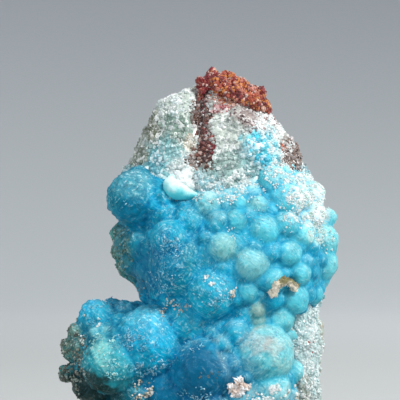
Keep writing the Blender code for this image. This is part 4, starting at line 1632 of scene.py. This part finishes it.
@dataclass
class Strewn:
    """Clusters of small crystals on the front of a piece."""

    name: str
    slot: str
    habit: Crystal
    clusters: tuple[Cluster, ...]
    lean: float
    seed: int
    tuft_salt: int = 5  # added to the seed
    tuft_size: float = 1.1
    stray: float = 0.04  # how thickly they lie between the tufts
    brightness: tuple[float, float] = (0.8, 1.15)

    def build(self, host: Piece) -> None:
        """Makes one piece of all the clusters, each crystal with a shade of its own.

        Args:
            host: the piece that carries them.
        """
        chance = np.random.default_rng(self.seed)
        points = host.points
        facing = ramp(-host.normals[:, 1], -0.6, 0.1) * ramp(points[:, 1], 6.0, 2.0)
        ragged = Noise.billows(points, Patch.FRAY_SIZE, self.seed)
        tufts = Noise.billows(points, self.tuft_size, self.seed + self.tuft_salt)
        tufts = self.stray + ramp(tufts, 0.0, 0.5)
        parts = []
        for cluster in self.clusters:
            density = cluster.patch.share(points, ragged) * facing * tufts
            places, aims, _ = host.picked(cluster.count, chance, density)
            colours = palette(cluster.colours)
            tones = colours[chance.integers(len(colours), size=cluster.count)]
            tones = np.clip(tones * chance.uniform(*self.brightness, (cluster.count, 1)), 0, 1)
            parts.append((places, aims, chance.uniform(*cluster.sizes, cluster.count), tones))
        places, aims, sizes, tones = (np.concatenate(column) for column in zip(*parts))
        piece = crystals(self.name, self.habit, places, aims, sizes, self.lean, tones, chance)
        piece.finished(GrainFinish(self.name, 0.25, 0.05, 0.1).make(), self.slot, False)


@dataclass
class Needles:
    """Silky slivers that lie on the crust's skin, thickest where it is frosted and carries its painted
    highlight.
    """

    count: int = 6200
    sizes: tuple[float, float] = (0.16, 0.55)
    tuft_size: float = 1.6
    above: float = 0.4  # none lie lower than this
    sink: float = 0.02
    rise: float = 0.15  # how far they point away from the skin
    lean: float = 0.15
    pale: Colour = (226, 246, 250)
    least_pale: float = 0.03
    more_pale: float = 0.3

    def build(self, crust: Piece) -> None:
        """Makes the needles' piece, each sliver a paler shade of the crust beneath it.

        Args:
            crust: the crust that they lie on.
        """
        chance = np.random.default_rng(Seed.NEEDLES)
        points = crust.points
        frost_and_highlight = crust.painted("frost_and_highlight", 1)[:, 0]
        silk = crust.painted("silk", 1)[:, 0]
        tufts = ramp(Noise.billows(points, self.tuft_size, Salt.NEEDLE_TUFTS), 0.0, 0.6)
        dense = (0.06 + frost_and_highlight) * silk * (0.1 + tufts) * (points[:, 2] > self.above)
        places, aims, beside = crust.picked(self.count, chance, dense)
        under = crust.painted("tone", 4)[beside, :3]
        pale = self.least_pale + self.more_pale * chance.random((self.count, 1)) ** 2
        tones = blended(under, linear(*self.pale), pale)
        flat = units(np.cross(aims, chance.normal(size=aims.shape)))
        sizes = chance.uniform(*self.sizes, self.count)
        piece = crystals("crust_needles", Crystal.SLIVER, places - self.sink * aims,
                         flat + self.rise * aims, sizes, self.lean, tones, chance)
        look = GrainFinish("silky_needles", 0.3, 0.04, 0.1).make()
        piece.finished(look, "blue_hemimorphite", False)


@dataclass
class Crest:
    """The rusty cap and the vein below it, crowded with crystals."""

    voxel: float = 0.32
    swell: float = 0.55
    swell_size: float = 2.2
    grain: float = 0.9
    grain_size: float = 1.5
    shrink: float = 0.3
    hollow: float = 0.5  # how much lower the vein and the crimson edge lie
    sink: float = 1.1
    count: int = 5200
    lean: float = 0.6
    body_shade: float = 0.7
    pale: Colour = (240, 214, 202)
    pale_strength: float = 0.55
    pale_above: float = 0.86  # the crystals whose random number is higher are pale
    crimson: Colour = (128, 24, 36)
    crimson_strength: float = 0.85
    colours: tuple[Colour, ...] = (
        (184, 88, 62), (168, 72, 48), (206, 128, 64), (140, 44, 42), (108, 30, 32), (204, 128, 108))
    vein: tuple[Colour, ...] = ((104, 50, 46), (72, 40, 38), (132, 84, 74), (54, 38, 36))

    def build(self) -> None:
        """Makes the cap's body and its crystals."""
        chance = np.random.default_rng(Seed.CREST)
        body = Piece.from_node("crest", "iron_oxide_crest")
        body.fused(self.voxel)
        body.smoothed(1)
        points = body.points
        vein = ramp(points[:, 2], 70.0, 67.5) * ramp(points[:, 0], -2.0, -3.5)
        edge = ramp(points[:, 0], -4.0, -5.5) * ramp(points[:, 2], 69.0, 71.0)
        rise = self.swell * Noise.billows(points, self.swell_size, Salt.CREST_SWELL)
        rise += self.grain * (0.5 - Noise.grains(points, self.grain_size, Salt.CREST_GRAIN)[0])
        body.raised(rise - self.shrink - self.hollow * vein - self.hollow * edge)
        sunk = body.points
        sunk[:, 1] += self.sink * vein
        body.move(sunk)
        tones = self.shades(points, chance.random(len(points)) * 0.3 + 0.35)
        body.paint("tone", tones * self.body_shade)
        look = GrainFinish("iron_oxide", 0.45, 0.1).make()
        body.finished(look, "iron_oxide", True, "iron_oxide_crest")
        places, aims, _ = body.picked(self.count, chance, 1 - 0.6 * vein)
        sizes = 0.2 + 0.5 * chance.random(self.count) ** 3 + 0.15 * ramp(places[:, 2], 70.0, 74.0)
        tones = self.shades(places, chance.random(self.count))
        pale = self.pale_strength * (chance.random((self.count, 1)) > self.pale_above)
        tones = blended(tones, linear(*self.pale), pale)
        grains = crystals("crest_crystals", Crystal.GRAIN, places, aims, sizes, self.lean, tones, chance)
        grains.finished(look, "iron_oxide", False)

    def shades(self, places: Array, share: Array) -> Array:
        """Picks rust, gold and crimson on the cap, and dark brown and crimson in the vein.

        Args:
            places: where each grain is.
            share: a random number from 0 to 1 for each.

        Returns:
            The light values of each, one row each.
        """
        cap = palette(self.colours)
        vein = palette(self.vein)
        spread = 0.5 + 0.45 * Noise.billows(places, 2.2, Salt.CREST_SHADES) + 0.6 * (share - 0.5)
        spread = np.clip(spread, 0, 0.999)
        on_cap = cap[(spread * len(cap)).astype(int)]
        in_vein = vein[(spread * len(vein)).astype(int)]
        low = ramp(places[:, 2] + 0.8 * Noise.waves(places, 1.5, Salt.VEIN_EDGE), 69.5, 67.0)
        low = (low * ramp(places[:, 0], -2.5, -3.8))[:, None]
        crimson = ramp(places[:, 0], -3.4, -4.6) * ramp(places[:, 2], 69.0, 70.5)
        crimson = crimson[:, None] * self.crimson_strength
        return blended(blended(on_cap, in_vein, low), linear(*self.crimson), crimson)


@dataclass
class Druse:
    """White and clear crystals strewn over the bare front of the rock."""

    count: int = 4200
    least_size: float = 0.22
    more_size: float = 0.5
    lean: float = 0.7
    bright_above: float = 0.7  # the crystals whose random number is higher are the brightest
    dark_below: float = 0.15  # and those whose number is lower are darker than the rock
    brightest: float = 0.5
    bright: float = 0.12
    dark: float = -0.2

    def build(self, rock: Piece, crust: Crust) -> None:
        """Makes the druse's piece.

        Args:
            rock: the rock that it grows on.
            crust: the crust, which it keeps clear of.
        """
        chance = np.random.default_rng(Seed.DRUSE)
        points, normals = rock.points, rock.normals
        bare = ramp(crust.field(points)[0], -0.4, 0.4) * ramp(points[:, 2], 0.5, 2.0)
        front = ramp(-normals[:, 1], -0.4, 0.2) * ramp(points[:, 1], 6, 0)
        places, aims, beside = rock.picked(self.count, chance, bare * (0.04 + front))
        own = chance.random((self.count, 1))
        under = rock.painted("tone", 4)[beside, :3]
        dull = np.where(own < self.dark_below, self.dark, self.bright)
        lift = np.where(own > self.bright_above, self.brightest, dull)
        tones = np.where(lift > 0, under + (1 - under) * lift, under * (1 + lift))
        sizes = self.least_size + self.more_size * chance.random(self.count) ** 2
        piece = crystals("rock_druse", Crystal.GRAIN, places, aims, sizes, self.lean, tones, chance)
        piece.finished(GrainFinish("clear_druse", 0.2, 0.05, 0.15).make(), "pale_rock", False)


@dataclass
class Knob:
    """The mint horn on the ledge, with white granular crystals heaped on it."""

    path: tuple[Triple, ...] = (
        (-12.0, -9.0, 51.7), (-12.2, -9.6, 50.7), (-11.4, -10.1, 49.9), (-10.2, -10.4, 49.3),
        (-8.9, -10.4, 48.9), (-7.6, -10.1, 48.8))
    girths: tuple[float, ...] = (1.5, 2.1, 2.2, 1.8, 1.25, 0.6)
    sides: int = 24
    voxel: float = 0.2
    heap: tuple[tuple[float, float, float, float], ...] = (
        (-10.4, -9.6, 51.6, 1.9), (-9.4, -9.4, 52.8, 1.4), (-9.2, -9.6, 50.8, 1.6),
        (-11.2, -9.0, 52.6, 1.2))
    ball_steps: int = 13
    ball_sides: int = 20
    heap_voxel: float = 0.25
    grain: float = 0.45
    grain_size: float = 0.8
    facets: float = 0.2
    facet_size: float = 0.6
    # deep below and pale on top: the pale top and its frost are a painted highlight
    deep: Colour = (96, 214, 222)
    pale: Colour = (226, 252, 248)
    frost_and_highlight: float = 0.25
    white: Colour = (238, 248, 246)

    def build(self) -> None:
        """Makes the horn and the crystals heaped on it."""
        horn = Piece("knob", *swept(np.array(self.path), np.array(self.girths), self.sides))
        heap_rows = np.array(self.heap)
        ball = turned(round_profile(self.ball_steps), self.ball_sides)
        frames = heap_rows[:, 3, None, None] * np.eye(3)
        heap = Piece("knob_heap", *copies(ball, heap_rows[:, :3], frames))
        horn.fused(self.voxel)
        horn.smoothed(4)
        points, normals = horn.points, horn.normals
        # painted highlight: the horn is paler and more frosted where it faces up
        pale = normals[:, 2] + 0.3 * Noise.billows(points, 1.5, Salt.HORN_SHADE)
        pale = ramp(pale, -0.5, 0.7)[:, None]
        horn.paint("tone", blended(linear(*self.deep), linear(*self.pale), pale))
        horn.paint("frost_and_highlight", self.frost_and_highlight * pale[:, 0])
        horn.paint("crease_shade", np.zeros(len(points)))
        horn.finished(CrustFinish().make(), "mint_hemimorphite", True, "pale_knob")
        heap.fused(self.heap_voxel)
        points = heap.points
        rise = self.grain * (0.5 - Noise.grains(points, self.grain_size, Salt.HEAP_GRAIN)[0])
        heap.raised(rise + self.facets * Noise.facets(points, self.facet_size, Salt.HEAP_FACETS))
        heap.paint("tone", np.tile(linear(*self.white), (len(points), 1)))
        heap.finished(GrainFinish("white_druse", 0.4, 0.15, 0.2).make(), "mint_hemimorphite", True)


@dataclass
class Crumb:
    """A small crumb of a paler mineral: a few fused balls with a grainy skin."""

    name: str
    node: str
    colours: tuple[Colour, Colour]
    count: int
    sizes: tuple[float, float]
    shrink: float
    upper: float = 0.0  # how much the second colour keeps to the top
    voxel: float = 0.16
    grain: float = 0.5
    grain_size: float = 0.7
    swell: float = 0.12
    swell_size: float = 0.9
    sink: float = 0.1
    lean: float = 0.5
    brightness: tuple[float, float] = (0.7, 1.4)

    def build(self) -> None:
        """Makes the crumb from its solid, and the crystals that stand out of it."""
        piece = Piece.from_node(self.name, self.node)
        piece.fused(self.voxel)
        piece.smoothed(2)
        points = piece.points
        rise = self.grain * (0.45 - Noise.grains(points, self.grain_size, Salt.CRUMB_GRAIN)[0])
        rise += self.swell * Noise.billows(points, self.swell_size, Salt.CRUMB_SWELL)
        piece.raised(rise - self.shrink)
        middle = (points[:, 2].min() + points[:, 2].max()) / 2
        share = Noise.billows(points, 1.3, Salt.CRUMB_SHADE) + self.upper * (points[:, 2] - middle)
        piece.paint("tone", blended(*palette(self.colours), ramp(share, -0.5, 0.5)[:, None]))
        look = GrainFinish(self.name, 0.4, 0.12, 0.1).make()
        piece.finished(look, "calcite", True, self.node)
        chance = np.random.default_rng(Seed.CRUMB)
        places, aims, beside = piece.picked(self.count, chance, np.ones(len(points)))
        tones = piece.painted("tone", 4)[beside, :3]
        tones = np.clip(tones * chance.uniform(*self.brightness, (self.count, 1)), 0, 1)
        sizes = chance.uniform(*self.sizes, self.count)
        teeth = crystals(self.name + "_crystals", Crystal.TOOTH, places - self.sink * aims, aims, sizes,
                         self.lean, tones, chance)
        teeth.finished(look, "calcite", False)


CRUMBS = (
    Crumb("arch", "cream_calcite_arch", ((236, 226, 206), (138, 130, 84)), count=190,
          sizes=(0.2, 0.45), shrink=0.2, upper=0.5),
    Crumb("spur", "white_calcite_spur", ((252, 250, 248), (226, 204, 190)), count=60,
          sizes=(0.35, 0.9), shrink=0.55),
)


@dataclass(frozen=True)
class Lamp:
    """A round soft light that faces the specimen: its place and width in metres, its power in watts."""

    name: str
    place: Triple
    size: float
    power: float
    colour: Triple
    target: Triple = (0, 0, 0.035)

    def hang(self) -> None:
        """Adds the light."""
        data = bpy.data.lights.new(self.name, "AREA")
        data.shape = "DISK"
        data.size = self.size
        data.energy = self.power
        data.color = self.colour
        lamp = bpy.data.objects.new(self.name, data)
        lamp.location = self.place
        aim = Vector(self.target) - Vector(self.place)
        lamp.rotation_euler = aim.to_track_quat("-Z", "Y").to_euler()
        bpy.context.scene.collection.objects.link(lamp)


@dataclass
class Studio:
    """A pale bowl of a floor, soft lights and a camera level with the middle of the picture."""

    lamps: tuple[Lamp, ...] = (
        Lamp("key", (0.55, -0.55, 0.75), 0.32, 11.0, (1.0, 0.98, 0.95)),
        Lamp("fill", (-0.8, -0.7, 0.35), 0.7, 4.0, (0.92, 0.96, 1.0)),
        Lamp("rim", (0.5, 0.6, 0.7), 0.5, 5.0, (1.0, 1.0, 1.0)),
    )
    room: Triple = (0.9, 0.95, 1.0)
    room_strength: float = 0.55
    aim: tuple[float, float] = (-6.6, 47.7)
    distance: float = 800.0
    lens: float = 347.0
    clip: tuple[float, float] = (0.01, 20.0)
    flat: float = 0.9
    wall: float = 2.6
    height: float = 2.6
    first_ring: float = 0.02
    flat_rings: int = 8
    bend_rings: int = 24
    sides: int = 96
    # painted shade: the paper is darker close to the specimen and up the wall
    paper_near: Colour = (180, 183, 183)
    paper_far: Colour = (214, 218, 219)
    paper_wall: Colour = (188, 192, 197)
    fibre: float = 2.0
    fibre_depth: float = 0.02

    def build(self) -> None:
        """Makes the floor, the lights, the surrounding light and the camera."""
        self.floor()
        for lamp in self.lamps:
            lamp.hang()
        world = bpy.data.worlds.new("soft_room")
        world.use_nodes = True
        background = world.node_tree.nodes["Background"]
        background.inputs["Color"].default_value = (*self.room, 1.0)
        background.inputs["Strength"].default_value = self.room_strength
        bpy.context.scene.world = world
        bpy.context.scene.view_settings.view_transform = "Standard"
        data = bpy.data.cameras.new("camera")
        data.lens = self.lens
        data.clip_start, data.clip_end = self.clip
        camera = bpy.data.objects.new("camera", data)
        camera.location = (self.aim[0] * MM, -self.distance * MM, self.aim[1] * MM)
        camera.rotation_euler = (math.pi / 2, 0, 0)
        bpy.context.scene.collection.objects.link(camera)
        bpy.context.scene.camera = camera

    def floor(self) -> None:
        """Makes the floor: flat near the specimen, then a quarter of an ellipse up to a wall."""
        bend = np.linspace(0, math.pi / 2, self.bend_rings)[1:]
        flat = np.linspace(self.first_ring, self.flat, self.flat_rings)
        radius = np.concatenate([flat, self.flat + (self.wall - self.flat) * np.sin(bend)])
        height = np.concatenate([0 * flat, self.height * (1 - np.cos(bend))])
        angle = np.arange(self.sides) / self.sides * 2 * math.pi
        rings = np.stack([radius[:, None] * np.cos(angle), radius[:, None] * np.sin(angle),
                          height[:, None] + 0 * angle], axis=-1)
        points = np.concatenate([np.zeros((1, 3)), rings.reshape(-1, 3)])
        triangles = capped(len(radius), self.sides)
        triangles = triangles[(triangles < len(points)).all(axis=1)][:, ::-1]
        piece = Piece("floor", points / MM, triangles)
        piece.thing.data.shade_smooth()
        recipe = Recipe("pale_paper", Roughness=0.9, Specular_IOR_Level=0.2)
        height = recipe.node("ShaderNodeSeparateXYZ", {}, {0: recipe.place}, 2)
        far = recipe.node("ShaderNodeVectorMath", {"operation": "LENGTH"}, {0: recipe.place}, "Value")
        # painted shade: darker near the middle and higher up the wall
        shade = recipe.blend(far.stepped(0.3, 1.1), linear(*self.paper_near), linear(*self.paper_far))
        shade = recipe.blend(height.stepped(0.03, 0.26), shade, linear(*self.paper_wall))
        normal = recipe.bumped(recipe.mottle(self.fibre), self.fibre_depth)
        piece.thing.data.materials.append(recipe.set(Base_Color=shade, Normal=normal))


def main() -> None:
    """Builds every piece of the specimen, then the studio round it."""
    logging.basicConfig(level=logging.INFO, format="%(name)s %(message)s")
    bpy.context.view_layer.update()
    crust = Crust()
    skin = crust.build()
    Needles().build(skin)
    Strewn("crust_sugar", "blue_hemimorphite", Crystal.GRAIN, SUGAR_CLUSTERS, lean=0.9,
           seed=Seed.SUGAR).build(skin)
    Strewn("crust_glints", "blue_hemimorphite", Crystal.SPLINTER, GLINT_CLUSTERS, lean=2.0,
           seed=Seed.GLINTS).build(skin)
    rock = Rock().build(crust)
    Druse().build(rock, crust)
    Strewn("rock_crystals", "iron_oxide", Crystal.GRAIN, ROCK_CLUSTERS, lean=0.8,
           seed=Seed.ROCK_CRYSTALS).build(rock)
    Crest().build()
    Knob().build()
    for crumb in CRUMBS:
        crumb.build()
    Studio().build()


if __name__ == "__main__":
    main()
